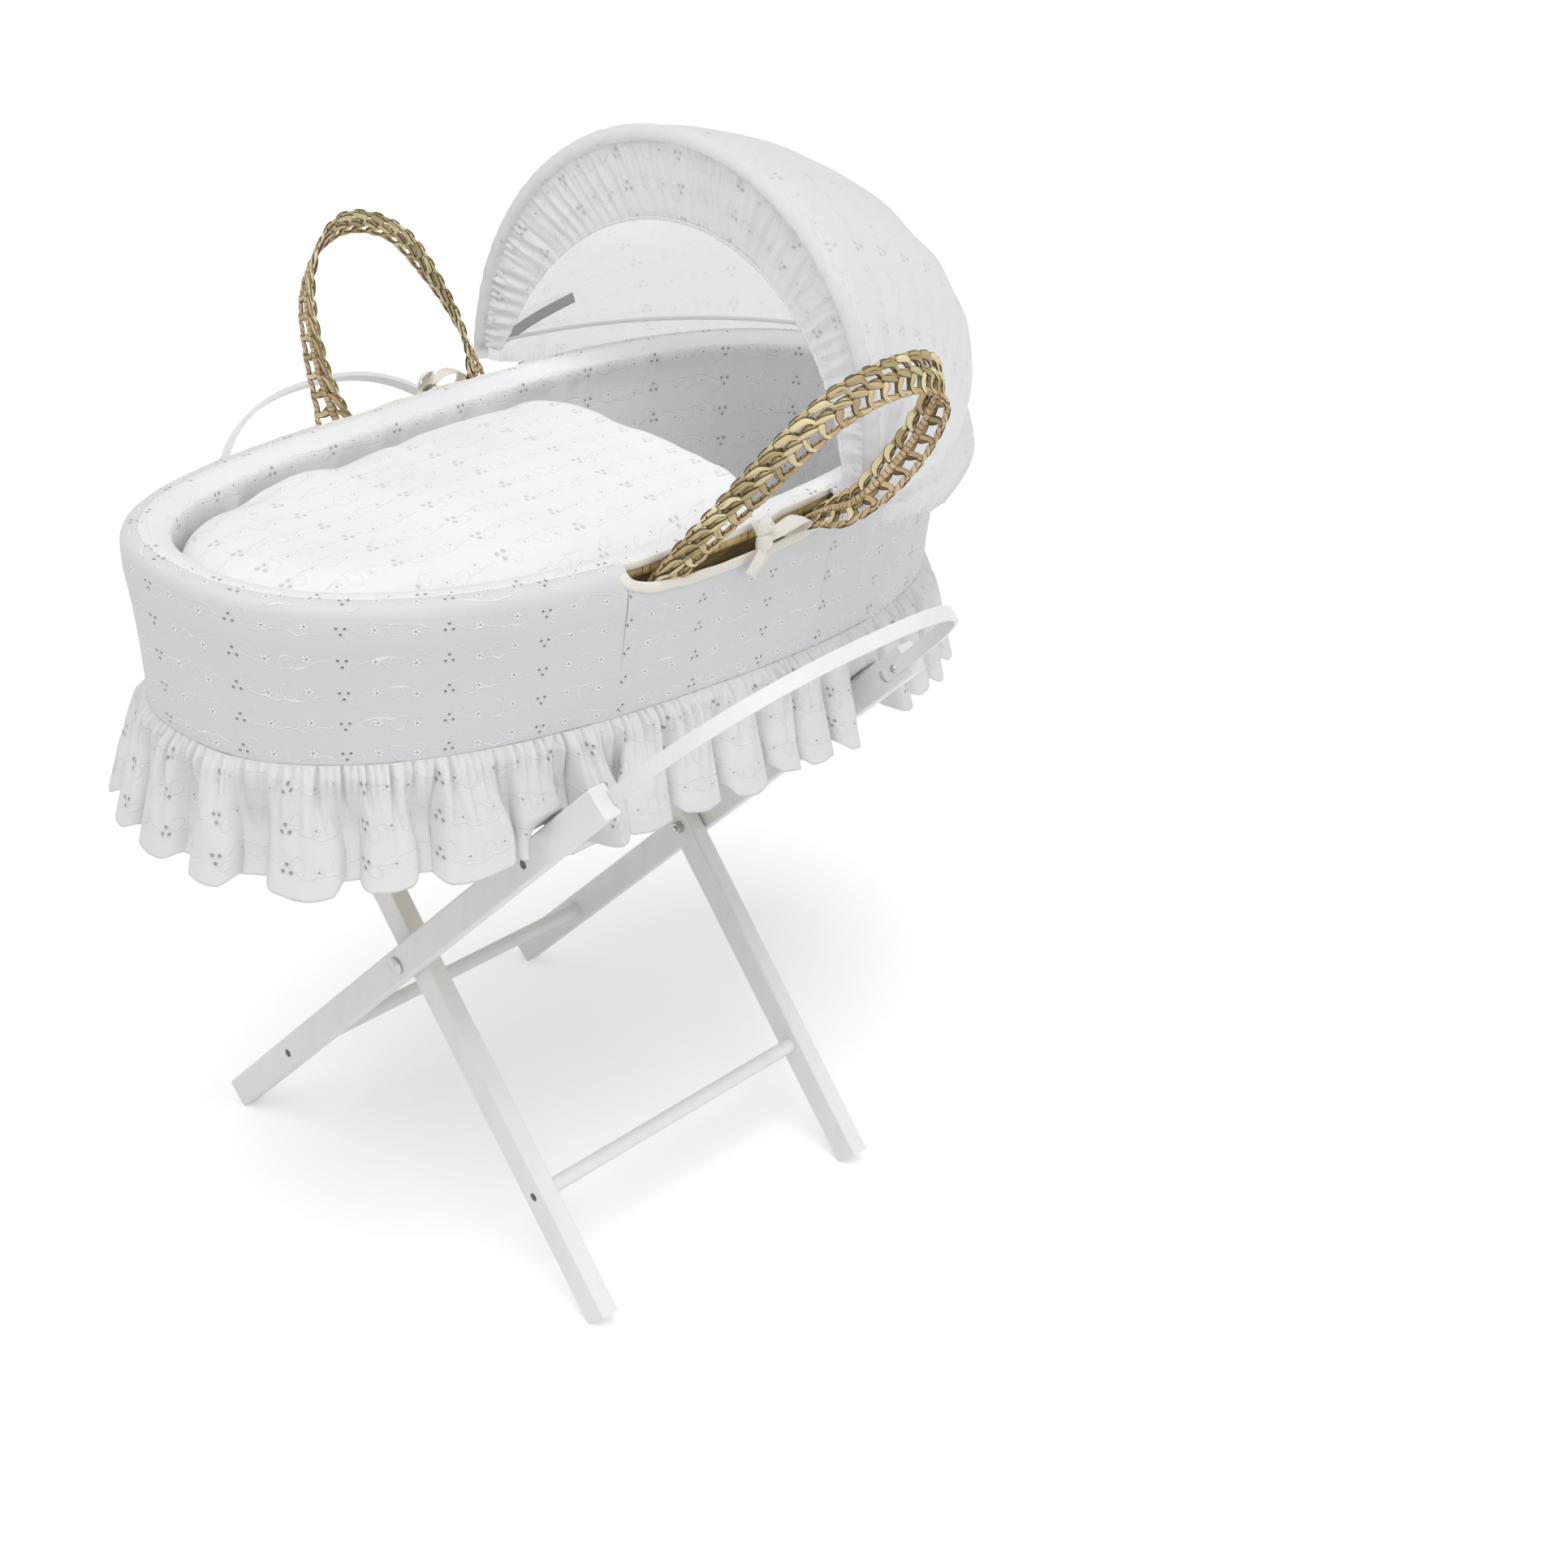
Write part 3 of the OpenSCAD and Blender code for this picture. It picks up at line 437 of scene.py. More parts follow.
def piece(name, patches, slot, body=None, replaces=(), thick=0.0, marks=False):
    """One object made of patches, riding on body and standing for the CAD nodes in replaces. thick is the
    cloth's thickness, and marks adds the tone, and the edge that paints shade, which straw's shader reads."""
    start = np.cumsum([0] + [len(a["points"]) for a in patches])
    faces = np.concatenate([a["faces"] + at for a, at in zip(patches, start)])
    mesh = bpy.data.meshes.new(name)
    mesh.from_pydata(np.concatenate([a["points"] for a in patches]).tolist(), [], faces.tolist())
    uv = np.concatenate([a["uv"] for a in patches]).reshape(-1).astype(np.float32)
    mesh.uv_layers.new(name="UVMap").data.foreach_set("uv", uv)
    mesh.polygons.foreach_set("use_smooth", np.ones(len(faces), bool))
    if marks:
        for label in ("tone", "edge"):
            values = np.concatenate([a[label] for a in patches]).astype(np.float32)
            mesh.attributes.new(label, "FLOAT", "POINT").data.foreach_set("value", values)
    obj = add(name, mesh)
    mesh.materials.append(MATERIALS[slot])
    if thick:
        shell = obj.modifiers.new("thickness", "SOLIDIFY")
        shell.thickness, shell.offset = thick, -1
    if body:
        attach(obj, body)
    if replaces:
        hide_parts(*replaces)
    return obj


def along(points):
    """Distance along each line of points (..., n, 3), from its start."""
    steps = np.linalg.norm(np.diff(points, axis=-2), axis=-1)
    return np.concatenate([np.zeros(steps.shape[:-1] + (1,)), np.cumsum(steps, -1)], -1)


def travel(x, y):
    """Distance along the points (x, y), from the first."""
    return np.concatenate([[0], np.cumsum(np.hypot(np.diff(x), np.diff(y)))])


def uv_grid(u, v):
    """Cloth co-ordinates of a grid, from u and v that broadcast to it."""
    return np.stack(np.broadcast_arrays(u, v), -1)


def unit(v):
    return v / np.linalg.norm(v, axis=-1, keepdims=True)


def heading(line):
    """Direction of a line of points at each of them."""
    return unit(np.gradient(line, axis=0))


def swept(line, wide, out, across, through):
    """For each point of a line, a row of points at distances across and through (n, m) along wide
    and out."""
    return line[:, None] + wide[:, None] * across[..., None] + out[:, None] * through[..., None]


def sp(c, n):
    """A sine or cosine for a superellipse: 2 is a circle, more is squarer."""
    return np.sign(c) * np.abs(c) ** (2 / n)


def section(sides, n):
    """Across and through, from -1 to 1, of points round a superellipse."""
    theta = np.linspace(0, 2 * np.pi, sides, endpoint=False)
    return sp(np.cos(theta), n), sp(np.sin(theta), n)


def plan(t, d):
    """The basket's plan at angle t, inset by d."""
    q = sp(np.cos(t), PLAN_N)
    return (HALF_L - d) * q, (HALF_W - d) * sp(np.sin(t), PLAN_N) * (1 + PLAN_EGG * q)


def plan_y(x, d):
    """Half the plan's width at x, inset by d."""
    q = x / (HALF_L - d)
    return (HALF_W - d) * (1 - np.abs(q) ** PLAN_N) ** (1 / PLAN_N) * (1 + PLAN_EGG * q)


def rise(x):
    """How far the rim rises towards the foot end."""
    return np.where(x < 0, FOOT_RISE * (x / HALF_L) ** 2, 0)


def up(z):
    """Share of the rim's rise that height z takes."""
    return np.minimum(1, (z - BASE_Z) / (WALL_TOP - BASE_Z))


def wall_d(z):
    """Inset of the woven wall at height z."""
    return WALL_GAP + WALL_LEAN * (RIM - z) / BASKET_H


def angle_at(x, near):
    """Angle of the plan at x, on the near side or the far one."""
    t = np.arccos(sp(x / HALF_L, 4 / PLAN_N))
    return 2 * np.pi - t if near else t


def around(count, start_x=None, extra=()):
    """Angles evenly spaced along the plan, from the near side's seam, with those in extra added."""
    t = np.linspace(0, 2 * np.pi, 4001)
    s = travel(*plan(t, 0))
    even = np.interp(np.linspace(0, s[-1], count, endpoint=False), s, t)
    t0 = angle_at(start_x, True) if start_x is not None else 0.0
    every = np.concatenate([(even - t0) % (2 * np.pi), [(e - t0) % (2 * np.pi) for e in extra]])
    return np.unique(np.round(every, 6)) + t0


def plan_length(t):
    """Distance along the plan at the rim, from the first angle, one more than t has."""
    return travel(*plan(np.append(t, t[0] + 2 * np.pi), 0))


def ring(t, d, z, share=0.0, end=0.0):
    """Points of the plan at angles t, as part.scad's ring()."""
    x, y = plan(t, d)
    x = x * (1 - end * np.where(x < 0, 0.5, 1) / HALF_L)
    return np.stack(np.broadcast_arrays(x, y, z + share * rise(x)), -1)


def outward(t):
    """Level directions out of the plan at angles t."""
    return unit(np.stack([np.cos(t), np.sin(t) * 1.6, 0 * t], -1))[:, None]


def waves(s, count, low, high, seed, loop=None):
    """Sum of sines along s, whose wavelengths lie between low and high; closes on itself over loop."""
    r = np.random.default_rng(seed)
    total = np.zeros_like(s)
    for _ in range(count):
        length = r.uniform(low, high)
        if loop:
            length = loop / max(1, round(loop / length))
        total += np.sin(2 * np.pi * s / length + r.uniform(0, 2 * np.pi)) * r.uniform(0.6, 1.0)
    return total / math.sqrt(count)


def smooth(x, low, high):
    """0 to 1, smoothly, as x goes from low to high."""
    k = np.clip((x - low) / (high - low), 0, 1)
    return k * k * (3 - 2 * k)


def catmull(p, f):
    """Between the middle two of four knots, at share f of the way."""
    return 0.5 * (2 * p[1] + (p[2] - p[0]) * f + (2 * p[0] - 5 * p[1] + 4 * p[2] - p[3]) * f ** 2
                  + (3 * p[1] - p[0] - 3 * p[2] + p[3]) * f ** 3)


def spline(knots, u):
    """Catmull-Rom through equally spaced knots, u from 0 to 1, as part.scad's spline()."""
    knots = np.asarray(knots, float)
    n = len(knots) - 1
    a = np.clip(np.asarray(u) * n, 0, n - 1e-9)
    i = a.astype(int)
    return catmull([knots[np.clip(i + k, 0, n)] for k in (-1, 0, 1, 2)], (a - i)[:, None])


def closed_spline(knots, u):
    """Catmull-Rom through a closed ring of knots."""
    knots = np.asarray(knots, float)
    a = np.asarray(u) * len(knots)
    i = np.floor(a).astype(int)
    return catmull([knots[(i + k) % len(knots)] for k in (-1, 0, 1, 2)], (a - i)[:, None])


# ---- outer dressing ----

SEAM_X = -0.12                       # the dressing's side seam


def seam_rise(x):
    """How far the seam between the dressing and the frill is drawn up at x."""
    return np.clip(0.006 - 0.055 * np.asarray(x), -0.016, 0.027)


slot_edges = [s * (SLOT_HALF + 0.003 * k) for s in (-1, 1)
              for k in (-2, -1.5, -1, -0.7, -0.4, -0.2, 0, 0.2, 0.4, 0.6, 0.8, 1)]
AROUND = around(760, SEAM_X, [angle_at(x, near) for x in slot_edges for near in (True, False)])
LENGTH = plan_length(AROUND)


def slot_z(x, grow):
    """Height of a slot's lower edge at x, grown by that much; infinite outside the slot."""
    a, h = SLOT_HALF + grow, SLOT_TOP - LIP_Z + grow
    inside = np.clip(1 - np.abs(x / a) ** SLOT_N, 0, 1) ** (1 / SLOT_N)
    return np.where(np.abs(x) < a, SLOT_TOP - h * inside, np.inf)


DRESSING = np.array([  # inset, height, share of the rim's rise
    [0.0165, FRILL_TOP + 0.0015, 0], [0.0135, FRILL_TOP - 0.0005, 0], [0.0125, FRILL_TOP + 0.004, 0],
    [0.0108, FRILL_TOP + 0.024, 0.15], [0.0075, FRILL_TOP + 0.062, 0.4],
    [0.0035, FRILL_TOP + 0.094, 0.72],
    [0.0008, LIP_Z - 0.008, 0.92], [0.0, HINGE_Z + 0.001, 1], [0.0006, RIM - 0.010, 1],
    [0.0025, RIM - 0.005, 1], [0.0058, RIM - 0.0018, 1], [0.0100, RIM - 0.0008, 1],
    [0.0135, RIM - 0.0006, 1]])


def outer_dressing():
    """The cloth from the frill's seam up to the rim, cut away at the slots."""
    rows, steps = 44, 400
    v, u = np.linspace(0, 1, rows), np.linspace(0, 1, steps)
    t = AROUND
    x0, _ = plan(t, 0)
    inset, height, share = spline(DRESSING, u).T
    low = np.clip((RIM - height) / (RIM - FRILL_TOP), 0, 1)
    drop = travel(inset, height)
    cut = slot_z(x0, BINDING_W * 0.5 - 0.006)
    points = np.empty((len(t), rows, 3))
    down = np.empty((len(t) + 1, rows))
    for k, angle in enumerate(t):
        seam = low * float(seam_rise(x0[k]))
        end = 1.0
        if np.isfinite(cut[k]):
            reach = np.argmax(height + share * float(rise(x0[k])) + seam > cut[k])
            end = (reach or steps - 1) / (steps - 1)
        place = [np.interp(v * end, u, c) for c in (inset, height + seam, share)]
        points[k] = ring(np.full(rows, angle), *place)
        down[k] = np.interp(v * end, u, drop)
    down[-1] = down[0]
    s, loop = LENGTH[:-1, None], LENGTH[-1]
    z = points[:, :, 2]
    hang = np.sin(np.pi * np.clip((z - FRILL_TOP) / (RIM - FRILL_TOP), 0, 1))
    ease = waves(s, 7, 0.06, 0.22, 3, loop) * 0.0011 + waves(s, 6, 0.015, 0.04, 4, loop) * 0.00035
    tuck = waves(s, 5, 0.007, 0.014, 5, loop) * 0.0006 * smooth(z, FRILL_TOP + 0.02, FRILL_TOP)
    points += outward(t) * (ease * hang + tuck)[:, :, None]
    return piece("outer_dressing_cloth", [patch(points, uv_grid(LENGTH[:, None], down), wrap=True)],
                 "embroidered_cotton", "basket", ["outer_dressing"], thick=0.0012)


# ---- frill ----

def legs_at(side):
    """Where the legs that pass the frill on that side begin and end along x."""
    prefix = "outer_leg" if side < 0 else "inner_leg"
    boxes = [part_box(n) for n in NODES if n.startswith(prefix)]
    return [(float(low[0]), float(high[0])) for low, high in boxes]


def flutes(s, x, loop):
    """The frill's flutes, with hollows between them, both narrower towards the head end: how far each
    place along the frill stands out, and how far it leans sideways."""
    r = np.random.default_rng(23)
    edges, lobe = [0.0], True
    while edges[-1] < loop - 0.02:
        foot = float(smooth(float(np.interp(edges[-1], s[:, 0], x)), 0.16, -0.10))
        if lobe:
            width = r.uniform(0.022, 0.032) + foot * r.uniform(-0.004, 0.016)
        else:
            width = r.uniform(0.009, 0.018) + foot * r.uniform(0.004, 0.026)
        edges.append(edges[-1] + width)
        lobe = not lobe
    if len(edges) % 2 == 0:
        edges.pop()
    edges = np.array(edges) * loop / edges[-1]
    height = r.uniform(0.75, 1.1, len(edges) - 1)
    ramp = 0.0045
    stand, lean = np.zeros_like(s), np.zeros_like(s)
    for k in range(0, len(edges) - 1, 2):
        a, b = edges[k:k + 2]
        mid, half = (a + b) / 2, 0.5 * (b - a)
        plateau = smooth(s, a - ramp, a + ramp) * smooth(s, b + ramp, b - ramp)
        bow = np.clip(1 - ((s - mid) / (half + ramp)) ** 2, 0, 1)
        stand += height[k] * (plateau * 0.62 + bow * 0.38)
        # a flute's head is wider than its neck
        reach = np.clip((s - mid) / half, -1.6, 1.6)
        lean += height[k] * reach * np.exp(-(np.abs(reach) - 0.9) ** 2 / 0.12) * 0.0078
    return stand, lean


def frill():
    """The gathered skirt below the seam."""
    loop = LENGTH[-1]
    t = around(1800, SEAM_X)
    s = plan_length(t)[:-1][:, None]
    x0, _ = plan(t, 0)
    v = np.linspace(0, 1, 46)[None, :]
    stand, lean = flutes(s, x0, loop)
    opened = smooth(v, -0.05, 0.66)
    gather = waves(s, 7, 0.0060, 0.0105, 11, loop)
    pleat = waves(s, 6, 0.011, 0.020, 12, loop)
    depth = 0.0225 + 0.0045 * waves(s, 3, 0.15, 0.4, 17, loop)
    puff = 0.0040 * smooth(v, 0.0, 0.12) * smooth(v, 0.6, 0.15)
    out = (0.0016 + puff + opened * depth * (stand - 0.35)
           + gather * 0.0026 * smooth(v, 0.50, 0.04) * smooth(v, -0.01, 0.05)
           + pleat * 0.0024 * smooth(v, 0.02, 0.12) * smooth(v, 0.85, 0.25))
    # it hangs a little longer at the foot end, and its hem is uneven
    fall = FRILL_TOP - HEM_Z - 0.004 + 0.008 * smooth(x0, -0.24, -0.37)[:, None]
    uneven = (waves(s, 5, 0.05, 0.16, 13, loop) * 0.0026 - (stand - 0.5) * 0.0035) * v ** 2
    z = FRILL_TOP - 0.0005 + seam_rise(x0)[:, None] - fall * v + uneven
    base = ring(t[:, None], 0.0150 - 0.027 * v ** 1.1, z, end=0.012 * v)
    tangent = unit(np.roll(base, -1, 0) - np.roll(base, 1, 0))
    normal = np.stack([tangent[..., 1], -tangent[..., 0], 0 * z], -1)
    sway = lean * smooth(v, 0.15, 0.9) + waves(s, 4, 0.05, 0.12, 14, loop) * 0.0030 * opened
    points = base + normal * out[..., None] + tangent * sway[..., None]
    # the cloth is tucked in behind each leg of the stand
    for side in (-1, 1):
        for low, high in legs_at(side):
            beyond = np.maximum(np.maximum(low - points[..., 0], points[..., 0] - high) - 0.004, 0)
            pull = 1 - smooth(beyond, 0.0, 0.030)
            leg_y = (points[..., 2] - PIVOT_STAND) * math.tan(LEAN) - LEG_HALF / math.cos(LEAN) - 0.005
            limit = np.where(points[..., 1] * side > 0, leg_y, np.inf)
            over = np.maximum(points[..., 1] * side - limit, 0)
            points[..., 1] -= side * over * pull
    hem = along(np.concatenate([points[:, -1], points[:1, -1]]))
    uv = uv_grid(hem[:, None], 0.092 * v)
    obj = piece("frill_cloth", [patch(points, uv, wrap=True)], "frill_cotton", "basket", ["frill"],
                thick=0.0007)


# ---- plaited handles ----

PITCH = 0.0166                       # one cell of the plait
# each handle's middle line [x, y, z] in mm, from one hinge to the other, and how far its face is turned
# from square to that line [share of the way, degrees]
FAR_PATH = [
    [-82, 0, 3], [-88, 0, 62], [-82, 0, 118], [-58, 0, 156], [-20, 0, 170], [28, 0, 150], [60, 0, 98],
    [77, 0, 50], [82, 0, 3]]
FAR_TURNS = [
    [0, 165], [0.03, 120], [0.06, 100], [0.125, 86], [0.25, 74], [0.375, 60], [0.44, 50], [0.5, 57],
    [0.625, 88], [0.75, 107], [0.875, 124], [0.94, 150], [1, 165]]
NEAR_PATH = [
    [-82, 0, 3], [-60, 0, 42], [-34, 0, 86], [4, 0, 148], [52, 0, 172], [112, 0, 168], [156, -2, 138],
    [144, -15, 102], [108, -27, 76], [83, -28, 52], [82, -13, 27], [82, 0, 3]]
NEAR_TURNS = [
    [0, -8], [0.05, -16], [0.14, -22], [0.23, -34], [0.32, -43], [0.41, -46], [0.5, -52], [0.545, -62],
    [0.59, -75], [0.64, -82], [0.73, -78], [0.82, -60], [0.91, -30], [1, -10]]

# a handle's cords: across and out of its middle, half width and half thickness, length, slant and depth
# of a wrap, sway from side to side, step along it, and 1 where its leaf is redder
CORDS = (
    (-0.0134, -0.0004, 0.0037, 0.0028, PITCH, 1.6, 0.34, 0.0005, 0.0008, 0),
    (-0.0022, 0.0002, 0.0030, 0.0024, PITCH / 2, -1.0, 0.28, 0.0006, 0.0007, 0),
    (-0.0020, -0.0022, 0.0033, 0.0020, PITCH / 3.5, 0.2, 0.20, 0.0003, 0.0006, 1),
    (0.0138, 0.0, 0.0027, 0.0022, PITCH / 2.5, 0.9, 0.26, 0.0005, 0.0006, 1))

# the leaves of one cell: which of the cell's sizes it takes, half thickness, 1 where it is redder, for
# each of two kinds of cell, then [along, across, out] past the cell's start and half widths, in mm
LEAVES = (
    # the outer cord's leaf swells, then narrows to pass under the middle
    (0, 0.0011, (0, 0), [[-6.5, -14.2, 0.0], [-2.5, -14.2, 2.7], [2.0, -13.7, 3.7], [6.0, -12.4, 3.6],
                         [9.0, -9.0, 3.0], [11.2, -5.2, 2.9], [12.8, -2.8, 2.0]],
     [2.2, 3.6, 4.0, 3.6, 2.3, 1.6, 1.1]),
    # from there it runs on along the middle
    (1, 0.0010, (0, 0), [[8.8, -4.6, 1.6], [11.8, -3.8, 3.3], [16.0, -2.6, 3.9], [20.5, -1.0, 3.9],
                         [24.5, 0.6, 3.2], [27.5, 2.0, 1.8]],
     [1.1, 2.3, 3.0, 3.0, 2.2, 1.1]),
    # a fan of leaf down to the thin cord, turning along it
    (2, 0.0006, (0, 1), [[14.5, -1.0, 1.8], [13.6, 1.6, 3.4], [11.8, 5.4, 2.6], [10.6, 9.4, 2.2],
                         [11.4, 12.6, 3.0], [14.6, 14.6, 2.6], [18.6, 15.0, 1.2]],
     [2.4, 4.0, 3.6, 2.6, 2.3, 2.1, 1.3]),
    (3, 0.0008, (1, 1), [[12.6, 12.0, 1.4], [16.5, 13.4, 2.9], [21.5, 14.2, 3.0], [26.0, 14.0, 1.6]],
     [1.5, 2.3, 2.3, 1.4]),
    # on the back: the outer leaf's other side, and the fan's
    (4, 0.0009, (1, 0), [[-5.0, -13.8, -0.8], [-1.0, -13.9, -2.9], [4.0, -13.2, -3.5], [8.0, -11.4, -3.3],
                         [10.6, -8.0, -2.8], [12.4, -4.8, -2.4]],
     [2.2, 3.3, 3.4, 2.7, 1.7, 1.2]),
    (1, 0.0008, (0, 1), [[13.6, 0.6, -2.2], [12.4, 4.4, -1.8], [11.4, 8.4, -1.6], [11.8, 12.4, -2.4],
                         [14.2, 14.4, -1.6]],
     [2.4, 2.6, 2.2, 2.2, 1.5]))


class Strap:
    """The run of a handle from tail to tail: s along it, a across it and b out of its face."""

    def __init__(self, path, turns, face, mid, side, lean):
        u = np.linspace(0, 1, 1201)
        p = spline(path, u) * MM
        d = heading(p)
        inward = unit(np.cross([0, 1, 0], d))
        turn = np.interp(np.linspace(-0.05, 1.05, 1321), *np.array(turns, float).T)
        turn = np.radians(np.convolve(turn, np.hanning(121) / np.hanning(121).sum(), "valid"))[:, None]
        wide = np.cos(turn) * inward + np.sin(turn) * np.cross(d, inward)
        swing = np.array(Matrix.Rotation(math.radians(lean), 3, "X"))
        p = p @ swing.T + [mid, side * HINGE_Y, HINGE_Z]
        wide = wide @ swing.T
        # tails, sewn flat to the wall below the rim
        slope = WALL_LEAN / BASKET_H
        top = HINGE_Z - HANDLE_T / 2 - 0.0015
        for end in (0, -1):
            x = p[end, 0]
            z = np.linspace(top - TAIL_L, top - 0.004, 60)
            y = side * (plan_y(abs(x) + HANDLE_W / 2, TAIL_INSET) - (top - z) * slope)
            tail = np.stack([np.full_like(z, x), y, z], 1)
            flat = np.repeat(wide[[end]], len(z), 0)
            if end == 0:
                p, wide = np.concatenate([tail, p]), np.concatenate([flat, wide])
            else:
                p, wide = np.concatenate([p, tail[::-1]]), np.concatenate([wide, flat])
        d = heading(p)
        self.s = along(p)
        self.tables = p, unit(wide), unit(np.cross(d, wide)) * face
        self.length = self.s[-1]

    def place(self, flat):
        """World places of points (..., 3) given as s, a, b."""
        s = flat[..., 0]
        p, wide, face = (np.stack([np.interp(s, self.s, t[:, c]) for c in range(3)], -1) for t in self.tables)
        return p + flat[..., 1:2] * wide + flat[..., 2:3] * face


def folded(line):
    """Directions across and out of a line given as s, a, b."""
    d = heading(line)
    wide = unit(np.cross([0, 0, 1], d))
    return wide, np.cross(d, wide)


def cord(strap, line, half_w, half_t, pitch, slant, depth, seed, shade):
    """A cord wrapped with leaf, line (n, 3) its middle as s, a, b; each wrap swells by depth and rises
    over the next one's start."""
    c, q = section(16, 2.3)
    run = along(line)[:, None]
    r = np.random.default_rng(seed)
    ragged = waves(run, 5, 0.02, 0.09, seed) * 0.10
    phase = (run + slant * half_w * c * np.sign(q + 0.001)) / pitch + ragged + 10
    wrap = np.floor(phase)
    f = phase - wrap
    swell = 1 - depth * (0.7 * np.abs(2 * f - 1) ** 3 + 0.3 * (1 - f))
    flat = swept(line, *folded(line), half_w * c * swell, half_t * q * swell)
    tone = r.uniform(0, 1, 4000)[wrap.astype(int) % 4000] + 2 * shade
    # painted shade at each wrap's two ends, where it tucks under or laps over the next
    edge = np.maximum(smooth(f, 0.13, 0.0), smooth(f, 0.90, 1.0))
    uv = uv_grid(run, np.linspace(0, 2 * np.pi, 17) * (half_w + half_t) / 2 + r.uniform(0, 1))
    return patch(strap.place(flat), uv, tube=True, tone=tone, edge=edge)


def leaf(strap, s, run, half, thick, seed, shade):
    """A narrow leaf, folded lengthwise, from one cord to the next: run and half as in LEAVES, past s.
    Shade is painted along its long edges, its fold and its tips, where it tucks under its neighbours."""
    n, sides = 15, 20
    k = np.linspace(0, 1, n)
    line = spline(run, k) * MM + [s, 0, 0]
    width = np.interp(k, np.linspace(0, 1, len(half)), half)[:, None] * MM
    c, q = section(sides, 2.4)
    r = np.random.default_rng(seed)
    crease = 0.0005 * np.cos(3.2 * (c - r.uniform(-0.3, 0.3)))
    flat = swept(line, *folded(line), width * c, thick * q + crease)
    uv = uv_grid(along(line)[:, None] + r.uniform(0, 1), width * np.append(c, c[0]) * 2 + r.uniform(0, 1))
    tone = np.full((n, sides), r.uniform(0, 1) + 2 * shade)
    # painted shade in the fold's crease, along the long edges and at the tips
    fold = np.exp(-((c - r.uniform(-0.45, 0.45) - 0.25 * (k[:, None] - 0.5)) / 0.07) ** 2) * (q > 0)
    tips = np.maximum(smooth(k, 0.14, 0.0), smooth(k, 0.86, 1.0))[:, None]
    edge = np.maximum(np.maximum(smooth(np.abs(c), 0.70, 0.98) * 0.95, fold * 0.55), tips)
    return patch(strap.place(flat), uv, tube=True, tone=tone, edge=edge)


def plait(name, path, turns, face, mid, side, lean, body, seed):
    """Cords wrapped with palm leaf, and the leaves that run from each to the next with an open cell
    between every two."""
    strap = Strap(path, turns, face, mid, side, lean)
    r = np.random.default_rng(seed)
    s0, s1 = 0.0005, strap.length - 0.0005
    parts = []
    for n, (a, b, half_w, half_t, pitch, slant, depth, sway, step, shade) in enumerate(CORDS):
        s = np.linspace(s0, s1, max(3, int((s1 - s0) / step)))
        a = a + sway * np.sin(2 * np.pi * s / PITCH + n)
        b = b + waves(s, 4, 0.02, 0.08, seed + n) * 0.0003
        line = np.stack([s, a, b], 1)
        parts.append(cord(strap, line, half_w, half_t, pitch, slant, depth, seed + n, shade))
    for k in range(int((s1 - s0) / PITCH) - 1):
        s = s0 + (k + 0.2) * PITCH + r.uniform(-0.0008, 0.0008)
        sizes, kind = r.uniform(0.90, 1.12, 5), int(r.integers(0, 2))
        for n, (own, thick, shade, run, half) in enumerate(LEAVES):
            half = np.array(half) * sizes[own]
            parts.append(leaf(strap, s, run, half, thick, seed + 40 + 10 * k + n, shade[kind]))
    obj = piece(name, parts, "plaited_palm", marks=True)
    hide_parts(body, "handle_tails")
    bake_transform(obj)


def coil():
    """The basket's rim: a bundle wound round with leaf."""
    t = around(1500)
    x, _ = plan(t, 0)
    x, y = plan(t, float(wall_d(COIL_Z)) + 0.0035 - 0.0035 * slot_lap(x))
    line = np.stack([x, y, COIL_Z + rise(x)], 1)
    d = unit(np.roll(line, -1, 0) - np.roll(line, 1, 0))
    out = unit(np.cross(d, [0, 0, 1]))
    s = plan_length(t)
    c, q = section(16, 2)
    turns = round(s[-1] / COIL_WRAP)
    phase = s[:-1, None] / s[-1] * turns + 0.35 * c
    wrap = np.floor(phase)
    f = phase - wrap
    r = (COIL_D / 2 - 0.0002) * (1 - 0.10 * (1 - f) ** 1.6)
    points = swept(line, out, np.tile([0.0, 0, 1], (len(t), 1)), r * c, r * q)
    tone = np.random.default_rng(7).uniform(0, 1, turns + 2)[wrap.astype(int) % turns]
    # painted shade at each wrap's ends, where the next wrap laps over it
    edge = np.maximum(smooth(f, 0.12, 0.0), 0.5 * smooth(f, 0.93, 1.0))
    uv = uv_grid(np.linspace(0, 2 * np.pi, 17) * COIL_D / 2, s[:, None])
    piece("rim_coil_wraps", [patch(points, uv, wrap=True, tube=True, tone=tone, edge=edge)],
          "wrapped_palm_coil", "basket", ["rim_coil"], marks=True)


# ---- liner, bindings and ribbons ----

LAP_OUT, LAP_DOWN = 0.0030, 0.0004   # of the liner's edge, over the rim coil


def slot_lap(x):
    """How far the liner's edge laps over the rim coil at x, from 0 outside a slot to 1 in its middle."""
    return smooth(np.abs(x), 0.062, 0.044)


